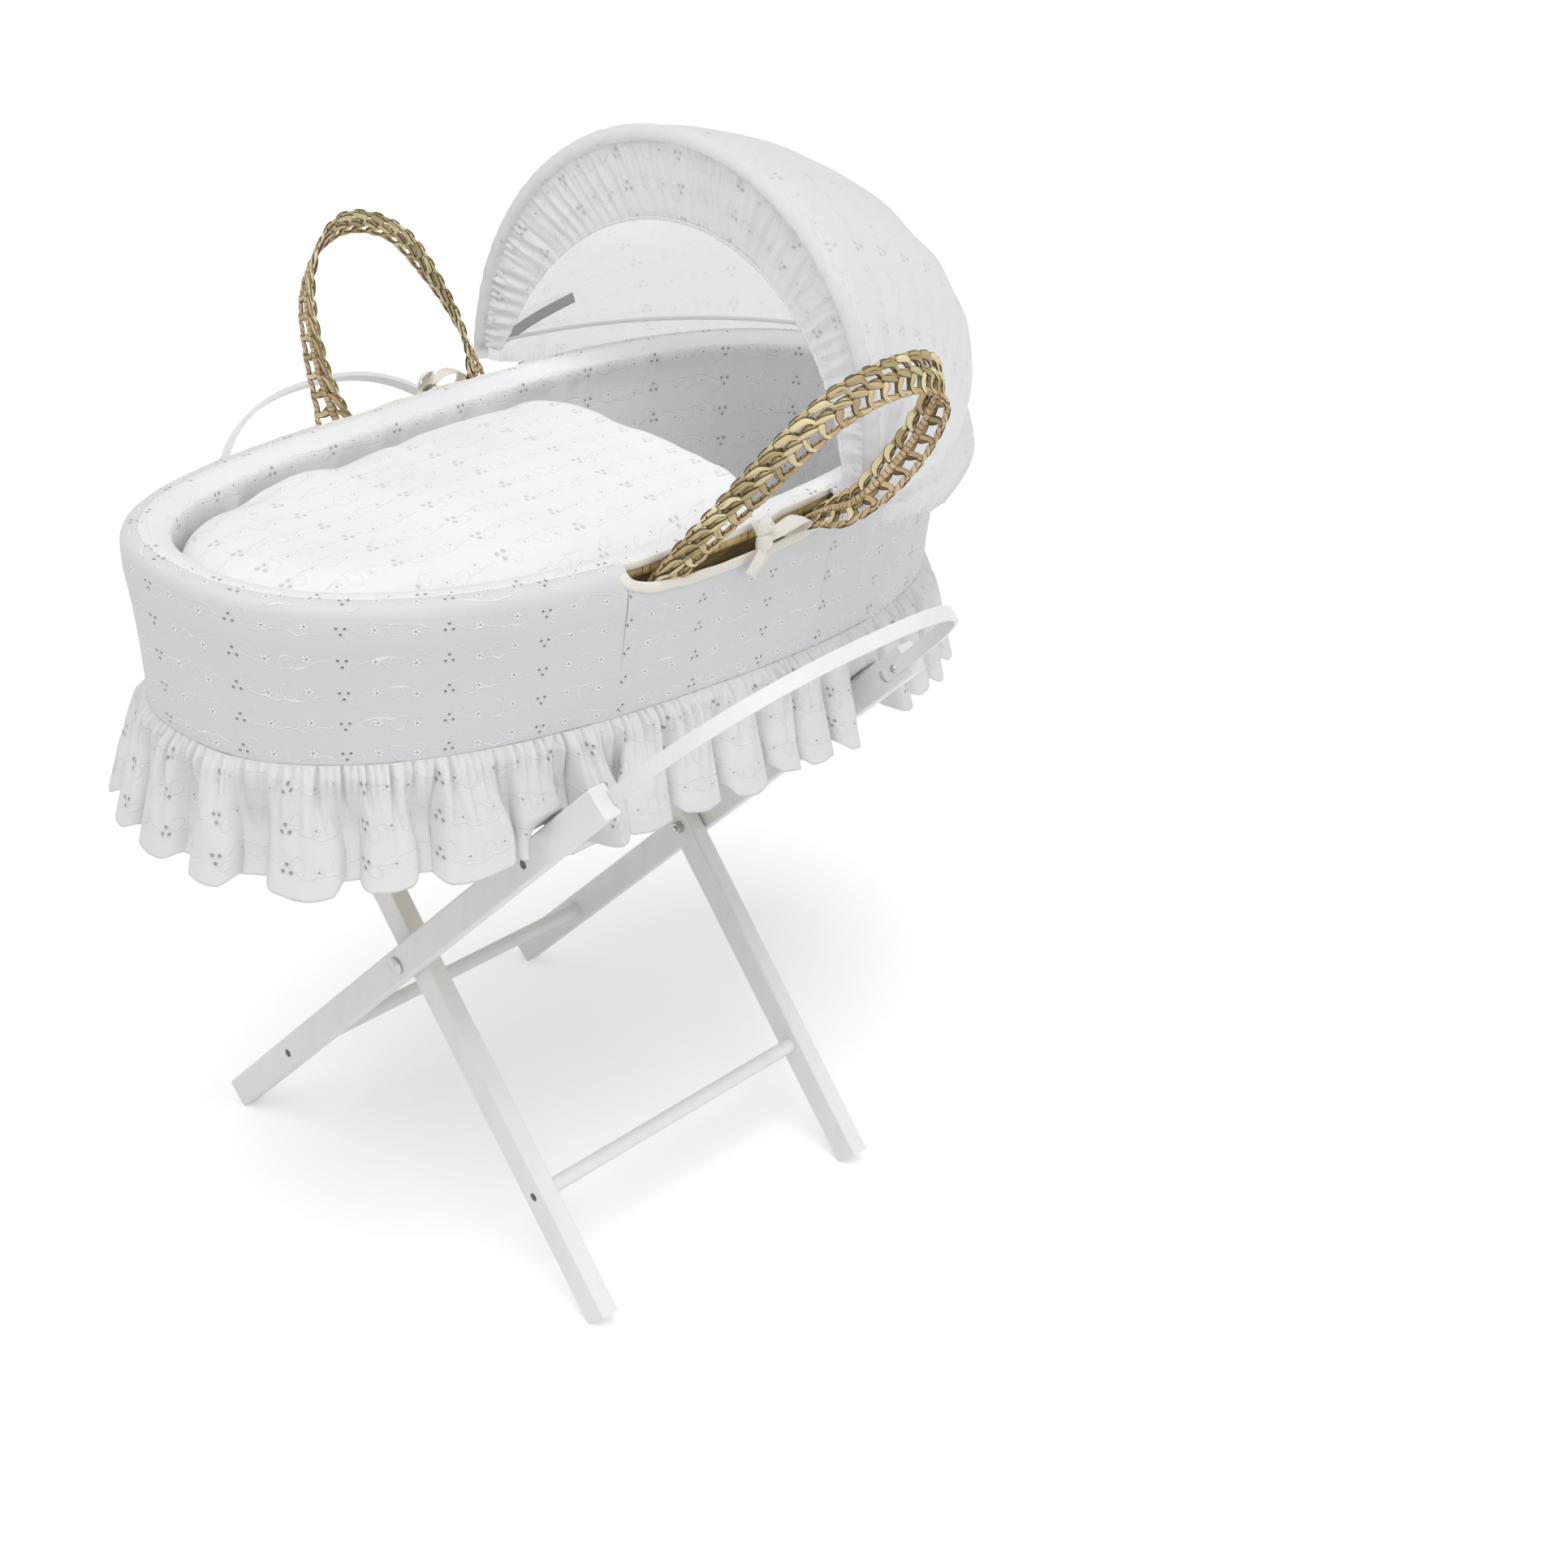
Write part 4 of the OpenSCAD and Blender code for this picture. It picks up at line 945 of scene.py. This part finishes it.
def liner():
    """The padded lining, up the inside, over the rim and down behind."""
    low, side = FLOOR_Z + 0.008, WALL_TOP - 0.010

    def inner(z):
        return float(wall_d(z)) + WALL_T + 0.002

    knots = [  # inset, height, share of the rim's rise
        [inner(low) + 0.008, low, up(low)], [inner(0.54) + 0.0085, 0.54, up(0.54)],
        [inner(0.61) + 0.0085, 0.61, up(0.61)], [inner(side) + 0.009, side - 0.004, up(side)],
        [inner(side) + 0.0095, COIL_Z + 0.002, 1], [inner(side) + 0.005, RIM - 0.0038, 1],
        [inner(side) - 0.004, RIM - 0.0004, 1], [0.0205, RIM + 0.0004, 1], [0.0150, RIM - 0.0003, 1],
        [LINER_EDGE, RIM - 0.0022, 1], [LINER_EDGE, RIM - 0.0048, 1], [0.0165, RIM - 0.0036, 1],
        [inner(side) - 0.001, COIL_Z + 0.006, 1], [inner(side) + 0.0025, COIL_Z, 1],
        [inner(side), side, up(side)], [inner(0.60), 0.60, up(0.60)], [inner(low), low, up(low)]]
    rows = 88
    inset, height, share = closed_spline(knots, np.arange(rows) / rows).T
    t = around(620)
    points = ring(t[:, None], inset, height, share)
    s = plan_length(t)[:, None]
    z = points[..., 2]
    # the padding dimples between its ties, and the cloth drags a little below the rim
    drag = (waves(s[:-1], 6, 0.03, 0.09, 31, s[-1, 0]) * 0.0014
            + waves(s[:-1] + z * 0.5, 5, 0.012, 0.03, 32) * 0.0004)
    swell = np.sin(np.pi * np.clip((z - FLOOR_Z) / (RIM - FLOOR_Z), 0, 1)) * 0.0022
    inside = np.arange(rows) < rows / 2
    move = (drag * smooth(z, RIM - 0.001, RIM - 0.03) + swell) * inside
    points = points - outward(t) * move[..., None]
    # over each slot its edge laps further out, down over the coil
    lap = slot_lap(points[..., 0]) * smooth(inset, 0.0235, 0.0120) * (height > COIL_Z)
    points[..., 1] += np.sign(points[..., 1]) * lap * LAP_OUT
    points[..., 2] -= lap * LAP_DOWN
    uv = uv_grid(s, np.append(travel(inset, height), 0.6))
    obj = piece("padded_liner_cloth", [patch(points, uv, wrap=True, tube=True)], "liner_cotton", "basket",
                ["padded_liner"])


def tape(line, wide, out, half_w, half_t, sides=12, square=2.6):
    """A folded tape along line (n, 3), wide and out its directions at each point."""
    c, q = section(sides, square)
    half_w, half_t = (np.broadcast_to(h, len(line))[:, None] for h in (half_w, half_t))
    points = swept(line, wide, out, half_w * c, half_t * q)
    uv = uv_grid(along(line)[:, None], np.linspace(0, 1, sides + 1) * float(np.mean(half_w)) * 4)
    return patch(points, uv, tube=True)


def dressing_inset(z):
    """Inset of the outer dressing at height z."""
    f = spline(DRESSING, np.linspace(0.2, 0.9, 200))
    return np.interp(z, f[:, 1], f[:, 0])


def bindings():
    """Bias binding round each slot: one length on the lower lip, one on the liner's edge above it."""
    parts = []
    for side in (-1, 1):
        theta = np.linspace(np.pi * 1.004, np.pi * 1.996, 170)
        x = SLOT_HALF * sp(np.cos(theta), SLOT_N)
        z = SLOT_TOP + (SLOT_TOP - LIP_Z - BINDING_W / 2) * sp(np.sin(theta), SLOT_N)
        z = z + rise(x) * 0.9 + waves(x, 4, 0.03, 0.08, 51 + side) * 0.0006
        line = np.stack([x, side * (plan_y(x, dressing_inset(z)) + 0.0006), z], 1)
        d = heading(line)
        out = unit(np.array([0.0, side, 0]) - d * d[:, 1:2] * side)
        width = 0.0046 + 0.0004 * waves(x, 3, 0.02, 0.06, 57 + side)
        parts.append(tape(line, np.cross(d, out), out, width, 0.0013))
        x = np.linspace(-SLOT_HALF - 0.002, SLOT_HALF + 0.002, 130)
        y = side * plan_y(x, LINER_EDGE - slot_lap(x) * LAP_OUT)
        z = RIM - 0.0040 - slot_lap(x) * LAP_DOWN + rise(x) + waves(x, 4, 0.03, 0.09, 61 + side) * 0.0007
        line = np.stack([x, y, z], 1)
        d = heading(line)
        out = unit(np.cross(d, [0, 0, 1.0]))
        parts.append(tape(line, np.cross(out, d), out, 0.0036, 0.0013))
    return piece("slot_binding_tapes", parts, "cream_binding", "basket", ["slot_bindings"])


def ribbon(knots, widths):
    """A ribbon through knots [x, y, z, turn in degrees], its width changing from end to end, in mm."""
    k = np.linspace(0, 1, 60)
    f = spline(knots, k)
    line = f[:, :3] * MM
    d = heading(line)
    side = unit(np.cross(d, [0, 1.0, 0]))
    turn = np.radians(f[:, 3:])
    wide = np.cos(turn) * side + np.sin(turn) * np.cross(d, side)
    half = np.interp(k, np.linspace(0, 1, len(widths)), widths)[:, None] * MM / 2
    across = np.linspace(-1, 1, 9)
    cup = (0.0006 * np.cos(across * 4.2) + 0.0004 * np.sin(across * 7)) * np.minimum(1, half / 0.004)
    points = swept(line, wide, np.cross(wide, d), half * across, cup)
    return points, uv_grid(along(line)[:, None], half * across)


# the strips of a bow, on the far side: the turn over the coil, the long loop, the small one and the tail
BOW = (
    ([[0, -4, 13, 0], [-1, 2, 10, 0], [-1, 6, 4, 0], [0, 7, -2, 0]], (12, 11, 9)),
    ([[0, 7, 1, 60], [14, 11, 8, 75], [31, 13, 13, 88], [44, 11, 9, 95], [42, 8, 1, 95],
      [27, 6, -2, 80], [12, 6, -1, 65], [0, 7, 1, 60]], (6, 13, 17, 15, 13, 15, 12, 6)),
    ([[0, 7, 2, 20], [-5, 10, 9, 40], [-3, 10, 16, 60], [4, 9, 19, 60], [3, 8, 14, 60], [0, 7, 3, 40]],
     (6, 10, 12, 12, 10, 6)),
    ([[0, 8, -1, -10], [-5, 11, -9, -15], [-10, 10, -17, -5], [-15, 8, -25, 0]], (7, 13, 14, 14)))


BOW_X, BOW_Z = 0.020, RIM - 0.0125


def bows():
    """A ribbon tied over the rim coil in the middle of each slot."""
    for side, name in ((-1, "near_ribbon"), (1, "far_ribbon")):
        where = [BOW_X, side * float(plan_y(BOW_X, 0.0)), BOW_Z]
        parts = []
        for knots, widths in BOW:
            points, uv = ribbon(knots, widths)
            points[..., 1] *= side
            parts.append(patch(points + where, uv))
        theta = np.linspace(0, 2 * np.pi, 40)
        turn = np.stack([5.6 * np.cos(theta), 7 + 4.2 * np.sin(theta), 1.5 * np.sin(theta + 0.6)], 1) * MM
        turn[:, 1] *= side
        d = heading(turn)
        wide = unit(np.cross(d, np.cross([0, 0, 1.0], d)))
        parts.append(tape(turn + where, wide, np.cross(d, wide), 0.0064, 0.0018))
        yield piece(name, parts, "cream_ribbon", "basket", ["slot_ribbons"], thick=0.0004)


# ---- mattress and coverlet ----

SIM_FRAMES = 20                      # of the cloth simulation that blows them up


def shaped(obj):
    """Gives the object the mesh that its modifiers make, and takes them away."""
    obj.data = evaluated(obj)
    obj.modifiers.clear()


def evaluated(obj):
    """A new mesh of the object as its modifiers make it."""
    return bpy.data.meshes.new_from_object(obj.evaluated_get(bpy.context.evaluated_depsgraph_get()))


def vertices(mesh):
    co = np.empty(len(mesh.vertices) * 3, np.float32)
    mesh.vertices.foreach_get("co", co)
    return co.reshape(-1, 3).astype(float)


def set_vertices(mesh, co):
    mesh.vertices.foreach_set("co", co.ravel())
    mesh.update()


def puffed(name, node, voxel, pressure, cap, shape, uv_of, slot, body):
    """A stuffed piece grown from a CAD soft solid: remeshed, shaped, blown up by cloth, smoothed. The
    pressure moves it by cap at most; shape gives its points their new places, and uv_of their uv."""
    obj = add(name, NODES[node].data.copy())
    remesh = obj.modifiers.new("remesh", "REMESH")
    remesh.mode, remesh.voxel_size = "VOXEL", voxel
    soften = obj.modifiers.new("soften", "SMOOTH")
    soften.factor, soften.iterations = 0.5, 10
    shaped(obj)
    start = shape(vertices(obj.data))
    set_vertices(obj.data, start)
    blown = obj.modifiers.new("cloth", "CLOTH")
    blown.settings.use_pressure = True
    blown.settings.uniform_pressure_force = pressure
    blown.settings.effector_weights.gravity = 0
    blown.settings.quality = 4
    blown.collision_settings.use_collision = False
    for n in range(SIM_FRAMES):
        bpy.context.scene.frame_set(n + 1)
    move = vertices(evaluated(obj)) - start
    obj.modifiers.clear()
    bpy.context.scene.frame_set(1)
    far = np.linalg.norm(move, axis=1, keepdims=True)
    set_vertices(obj.data, start + move * np.minimum(1, cap / np.maximum(far, 1e-9)))
    finer = obj.modifiers.new("finer", "SUBSURF")
    finer.levels = finer.render_levels = 1
    shaped(obj)
    mesh = obj.data
    mesh.materials.clear()
    mesh.materials.append(MATERIALS[slot])
    mesh.polygons.foreach_set("use_smooth", np.ones(len(mesh.polygons), bool))
    corner = np.empty(len(mesh.loops), np.int32)
    mesh.loops.foreach_get("vertex_index", corner)
    layer = mesh.uv_layers.get("UVMap") or mesh.uv_layers.new(name="UVMap")
    layer.data.foreach_set("uv", uv_of(vertices(mesh))[corner].ravel().astype(np.float32))
    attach(obj, body)
    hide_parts(node)


def coverlet():
    """The quilted cover, turned down over its sides."""
    low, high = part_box("coverlet")
    foot, head = float(low[0]), float(high[0])

    def shape(v):
        x, y, z = v.T
        half = HALF_W - float(wall_d(RIM - 0.028)) - 0.020
        across = np.clip(np.abs(y) / half, 0, 1)
        # the turned edge bows out towards the head end
        v[:, 0] += smooth(x, -0.16, head) * (0.004 - 0.010 * across ** 2.2)
        upper = smooth(z, RIM - 0.06, RIM - 0.02)
        length = np.clip((x - foot) / (head - foot), 0, 1)
        crown = (1 - across ** 2) * np.sin(np.pi * np.clip(length * 0.92 + 0.04, 0, 1)) ** 0.6
        soft = waves(x + 0.3 * y, 4, 0.10, 0.24, 71) * 0.0012 + waves(y - 0.4 * x, 4, 0.08, 0.2, 72) * 0.0010
        v[:, 2] += upper * (crown * 0.010 - 0.004 + soft)
        # it thins and turns under at the edge
        v[:, 2] -= upper * smooth(x, head - 0.045, head + 0.002) * 0.010
        return v

    def uv_of(v):
        # the quilting turns down over the sides, square to the edge
        x, y, z = v.T
        out = np.stack([x / HALF_L ** 2, y / HALF_W ** 2], 1)
        out /= np.maximum(np.linalg.norm(out, axis=1, keepdims=True), 1e-6)
        fall = np.maximum(RIM - 0.020 - z, 0)[:, None]
        return v[:, :2] + (0.011, 0.006) + out * fall

    puffed("coverlet_quilt", "coverlet", 0.0055, 2.2, 0.005, shape, uv_of, "quilted_cotton", "coverlet")


def mattress():
    """The mattress that lies in the basket."""
    puffed("mattress_pad", "mattress", 0.006, 2.0, 0.003, lambda v: v, lambda v: v[:, :2],
           "mattress_cotton", "basket")


# ---- hood ----

def foot_line(t, out):
    """Where the hood's cover meets its base wire, t running from the near side to the far one and out
    the distance outside the hoops."""
    x = HOOD_X + (HALF_L + out - HOOD_X) * sp(np.sin(t), 2.2)
    u = np.minimum((x - HOOD_X) / (HALF_L - HOOD_X), 1)
    return x, -np.cos(t) * (HOOP_R + out) * (1 - FOOT_TAPER * u)


def front_arch(t, out):
    """Across and up the front arch, from the line of the rivets."""
    return -(HOOP_R + out) * np.cos(t), HOOP_LEG * np.minimum(1, np.sin(t) * 4) + (HOOP_R + out) * np.sin(t)


def hood_point(t, v, out):
    """The hood at turn v from the front arch to its foot."""
    ay, az = front_arch(t, out)
    bx, by = foot_line(t, out + 0.002)
    c, q = np.cos(v), np.sin(v)
    x = HOOD_X + math.tan(HOOP_LEAN) * az * c + (bx - HOOD_X) * q
    return np.stack([x, by * (1 - c) + ay * c, PIVOT_Z + az * c * (1 - HOOD_DIP * np.sin(2 * v))], -1)


def skirt_point(t, k, out):
    """The hood's skirt at share k of its way down over the head end."""
    bx, by = foot_line(t, out + 0.002)
    drop = (0.020 * smooth(np.sin(t), -0.06, 0.07) + 0.100 * np.sin(t) ** 1.3) * k
    belly, most = np.sin(np.pi * k ** 0.8), np.sin(t) ** 0.7
    x = bx + (0.013 * belly - 0.011 * k * k) * most
    y = by * (1 + (0.030 * belly - 0.075 * k * k) * most)
    return np.stack([x, y, PIVOT_Z - drop], -1)


def hood_cover():
    """The cover from the front hoop to the elastic hem of its skirt."""
    t = np.radians(np.linspace(1.2, 178.8, 420))[:, None]
    v = (np.linspace(0, 1, 56) ** 1.25 * np.pi / 2)[None, :]
    k = np.linspace(0, 1, 34)[None, 1:]
    points = np.concatenate([hood_point(t, v, COVER_OUT), skirt_point(t, k, COVER_OUT)], 1)
    s = np.mean(along(points.transpose(1, 0, 2)), 0)[:, None]
    down = np.concatenate([np.zeros_like(v), k], 1)
    turn = np.concatenate([v / (np.pi / 2), np.ones_like(k)], 1)
    # it is drawn in along the base wire, pouches below it, is gathered on its elastic hem
    # and dips in behind the front hoop
    neck = -0.0085 * np.exp(-(turn / 0.035) ** 2)
    pinch = -0.0045 * np.exp(-(((turn - 1) * 0.34 + down * 0.12) / 0.022) ** 2) * np.sin(t) ** 0.5
    hem = waves(s, 7, 0.007, 0.014, 81) * 0.0022 * smooth(down, 0.35, 1.0)
    pouch = waves(s, 5, 0.03, 0.07, 82) * 0.0032 * np.sin(np.pi * down ** 0.8)
    near_wire = waves(s, 6, 0.010, 0.022, 83) * 0.0010 * np.exp(-((turn - 1) / 0.10) ** 2) * (1 - down)
    slack = (waves(s + turn * 0.08, 5, 0.06, 0.16, 84) * 0.0016
             + waves(s * 0.7 - turn * 0.2, 4, 0.05, 0.1, 85) * 0.0010)
    slack = slack * np.sin(np.pi * np.clip(turn, 0, 1)) * (1 - down)
    normal = unit(np.cross(np.gradient(points, axis=1), np.gradient(points, axis=0)) + 1e-12)
    normal *= np.sign((normal * (points - [HOOD_X + 0.1, 0, PIVOT_Z - 0.05])).sum(-1, keepdims=True).mean())
    points = points + normal * (neck + pinch + hem + pouch + near_wire + slack)[..., None]
    uv = uv_grid(s, np.mean(along(points), 0))
    obj = piece("hood_cover_cloth", [patch(points, uv)], "hood_cotton", replaces=["hood_cover"])
    bend(obj)


def bend(obj):
    """Cloth between the basket and the hood's front hoop, its transform baked into its mesh."""
    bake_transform(obj)


def hoop_casing():
    """The stitched tunnel that holds the front hoop."""
    t = np.radians(np.linspace(-2.2, 182.2, 420))
    y, z = front_arch(t, -0.0030)
    line = np.stack([HOOD_X + math.sin(HOOP_LEAN) * z, y, PIVOT_Z + math.cos(HOOP_LEAN) * z], -1)
    out = np.stack([0 * t, -np.cos(t), np.sin(t)], -1)
    size = CASING_R + 0.0004 * waves(along(line), 5, 0.010, 0.03, 91)
    forward = np.tile([-1.0, 0, 0], (len(t), 1))
    piece("hood_hoop_casing", [tape(line, out, forward, size, size * 0.92, 16, 2.0)], "hood_cotton",
          "hood_front")


def grey_strip():
    """A grey strip inside the hood's far side."""
    k = np.linspace(0, 1, 60)[:, None]
    foot, top = hood_point(np.radians([175.6, 161.6]), np.radians([87, 69]), -0.0035)
    line = foot + (top - foot) * k + np.array([0, 0.003, 0]) * np.sin(np.pi * k)
    across = np.linspace(-1, 1, 5) * GREY_STRIP_W / 2
    points = line[:, None] + unit(np.cross([0, 1.0, 0], heading(line)))[:, None] * across[:, None]
    s = along(line)
    obj = piece("hood_grey_strip", [patch(points, uv_grid(s[:, None], across))], "white_webbing",
                thick=0.0010)
    obj.data.materials[0] = MATERIALS["grey_tape"]
    bend(obj)


def ruffle():
    """A gathered band inside the front hoop, with a lace edge."""
    t = np.radians(np.linspace(0.2, 179.8, 1100))[:, None]
    w = np.linspace(0, 1, 30)[None, :]
    wide = 0.014 + (RUFFLE_W - 0.014) * np.sin(t) ** 0.6
    s = along(np.stack([0 * t[:, 0], *front_arch(t[:, 0], -0.04)], -1))[:, None]
    scallop = 0.0009 * np.abs(np.sin(np.pi * s / 0.0052)) * (w == 1)
    depth = wide * w + scallop
    y, z = front_arch(t, -RUFFLE_IN - depth)
    fine = waves(s, 7, 0.005, 0.0085, 95) * 0.0012 * smooth(w, 0.75, 0.0)
    loose = waves(s + 0.006 * w, 6, 0.011, 0.020, 96)
    loose = loose * (0.0014 * np.sin(np.pi * np.clip(w * 1.05, 0, 1)) + 0.0005 * w)
    x = -0.0015 + 0.2 * depth + fine + loose
    lean = math.tan(HOOP_LEAN)
    points = np.stack([HOOD_X + x + lean * z, y, PIVOT_Z + z - lean * x], -1)
    obj = piece("hood_ruffle_cloth", [patch(points, uv_grid(s * 1.25, depth + 0.004))], "ruffle_cotton",
                "hood_front", ["hood_ruffle"], thick=0.0006)
    # the lace along its inner edge
    edge = points[:, -1] - [0.0004, 0, 0]
    inward = unit(np.stack([0 * t[:, 0], -y[:, -1], -z[:, -1]], -1))
    lace = tape(edge, inward, np.tile([-1.0, 0, 0], (len(edge), 1)), 0.0016, 0.0007, 8, 2.0)
    trim = piece("hood_ruffle_lace", [lace], "mattress_cotton", "hood_front")


# ---- stand's straps ----

def strap(name, node, body_a, body_b):
    """A webbing strap from rail to rail of the stand. Its ends turn down the inner side of each rail and
    under it, then come back below the strap."""
    low, high = (np.array(c, float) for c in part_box(node))
    width = high[0] - low[0]
    ry, rz = (high[1] - low[1]) / 2 - SLEEVE_R, high[2] - SLEEVE_R
    r = SLEEVE_R - STRAP_T / 2 + 0.0001
    theta = np.radians(np.linspace(90, 300, 26))
    turn = np.stack([ry + r * np.cos(theta), rz + r * np.sin(theta)], 1)
    back = [[ry - 0.020, rz + r - 0.0058], [ry - 0.034, rz + r - 0.0024], [ry - 0.052, rz + r - 0.0022]]
    end = np.concatenate([[[ry - 0.006, rz + r]], turn, back])
    y = np.linspace(-ry + 0.012, ry - 0.012, 50)
    middle = np.stack([y, rz + r - 0.0004 * np.cos(np.pi * y / (2 * ry))], 1)
    path = np.concatenate([end[::-1] * [-1, 1], middle, end])
    line = np.stack([np.full(len(path), (low[0] + high[0]) / 2), path[:, 0], path[:, 1]], 1)
    wide = np.tile([1.0, 0, 0], (len(line), 1))
    band = tape(line, wide, np.cross(wide, heading(line)), width / 2, STRAP_T / 2, 20, 6)
    obj = piece(name, [band], "white_webbing", replaces=[node])
    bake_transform(obj)


outer = outer_dressing()
frill()
coil()
liner()
trims = [bindings(), *bows()]
mattress()
coverlet()
hood_cover()
grey_strip()
hoop_casing()
ruffle()
strap("foot_end_webbing", "foot_end_strap", "outer_frame", "inner_frame")
strap("head_end_webbing", "head_end_strap", "outer_frame", "inner_frame")
plait("near_handle_plait", NEAR_PATH, NEAR_TURNS, -0.85, 0.003, -1, 29, "near_handle", 40)
plait("far_handle_plait", FAR_PATH, FAR_TURNS, -0.6, -0.008, 1, -19, "far_handle", 540)


# ---- floor, light and world ----

def floor():
    """A pale floor, brighter to the camera and in reflections."""
    mesh = bpy.data.meshes.new("floor")
    mesh.from_pydata([(-9, -9, 0), (9, -9, 0), (9, 9, 0), (-9, 9, 0)], [], [(0, 1, 2, 3)])
    obj = add("floor", mesh)
    s = Shader("floor", Roughness=0.95)
    s.plug(s.bsdf.inputs["Base Color"], (0.86, 0.86, 0.865))
    seen = s.math("MAXIMUM", s.node("LightPath", "Is Camera Ray"), s.node("LightPath", "Is Glossy Ray"))
    s.plug(s.bsdf.inputs["Emission Color"], (1, 1, 1))
    s.plug(s.bsdf.inputs["Emission Strength"], seen * 0.26)
    mesh.materials.append(s.mat)


def sun(name, towards, strength, spread):
    """A soft distant light that comes from that direction."""
    data = bpy.data.lights.new(name, "SUN")
    data.energy, data.angle = strength, math.radians(spread)
    add(name, data).rotation_euler = Vector(towards).to_track_quat("Z", "Y").to_euler()


def world():
    """Soft light from all round; plain white to the camera and to transmitted rays."""
    w = bpy.data.worlds.new("world")
    bpy.context.scene.world = w
    w.use_nodes = True
    tree = w.node_tree
    lit = next(n for n in tree.nodes if n.type == "BACKGROUND")
    out = next(n for n in tree.nodes if n.type == "OUTPUT_WORLD")
    seen, path, most, mix = (tree.nodes.new("ShaderNode" + kind)
                             for kind in ("Background", "LightPath", "Math", "MixShader"))
    for light, colour, strength in ((lit, (0.985, 0.992, 1, 1), 0.62), (seen, (1, 1, 1, 1), 1.0)):
        light.inputs[0].default_value = colour
        light.inputs[1].default_value = strength
    most.operation = "MAXIMUM"
    for start, end in ((path.outputs["Is Camera Ray"], most.inputs[0]),
                       (path.outputs["Is Transmission Ray"], most.inputs[1]),
                       (most.outputs[0], mix.inputs[0]), (lit.outputs[0], mix.inputs[1]),
                       (seen.outputs[0], mix.inputs[2]), (mix.outputs[0], out.inputs[0])):
        tree.links.new(start, end)


floor()
world()
sun("key", (-0.35, -0.25, 1.0), 1.5, 40)
sun("fill", (0.5, -0.9, 0.55), 0.35, 60)
bpy.context.scene.view_settings.view_transform = "Standard"
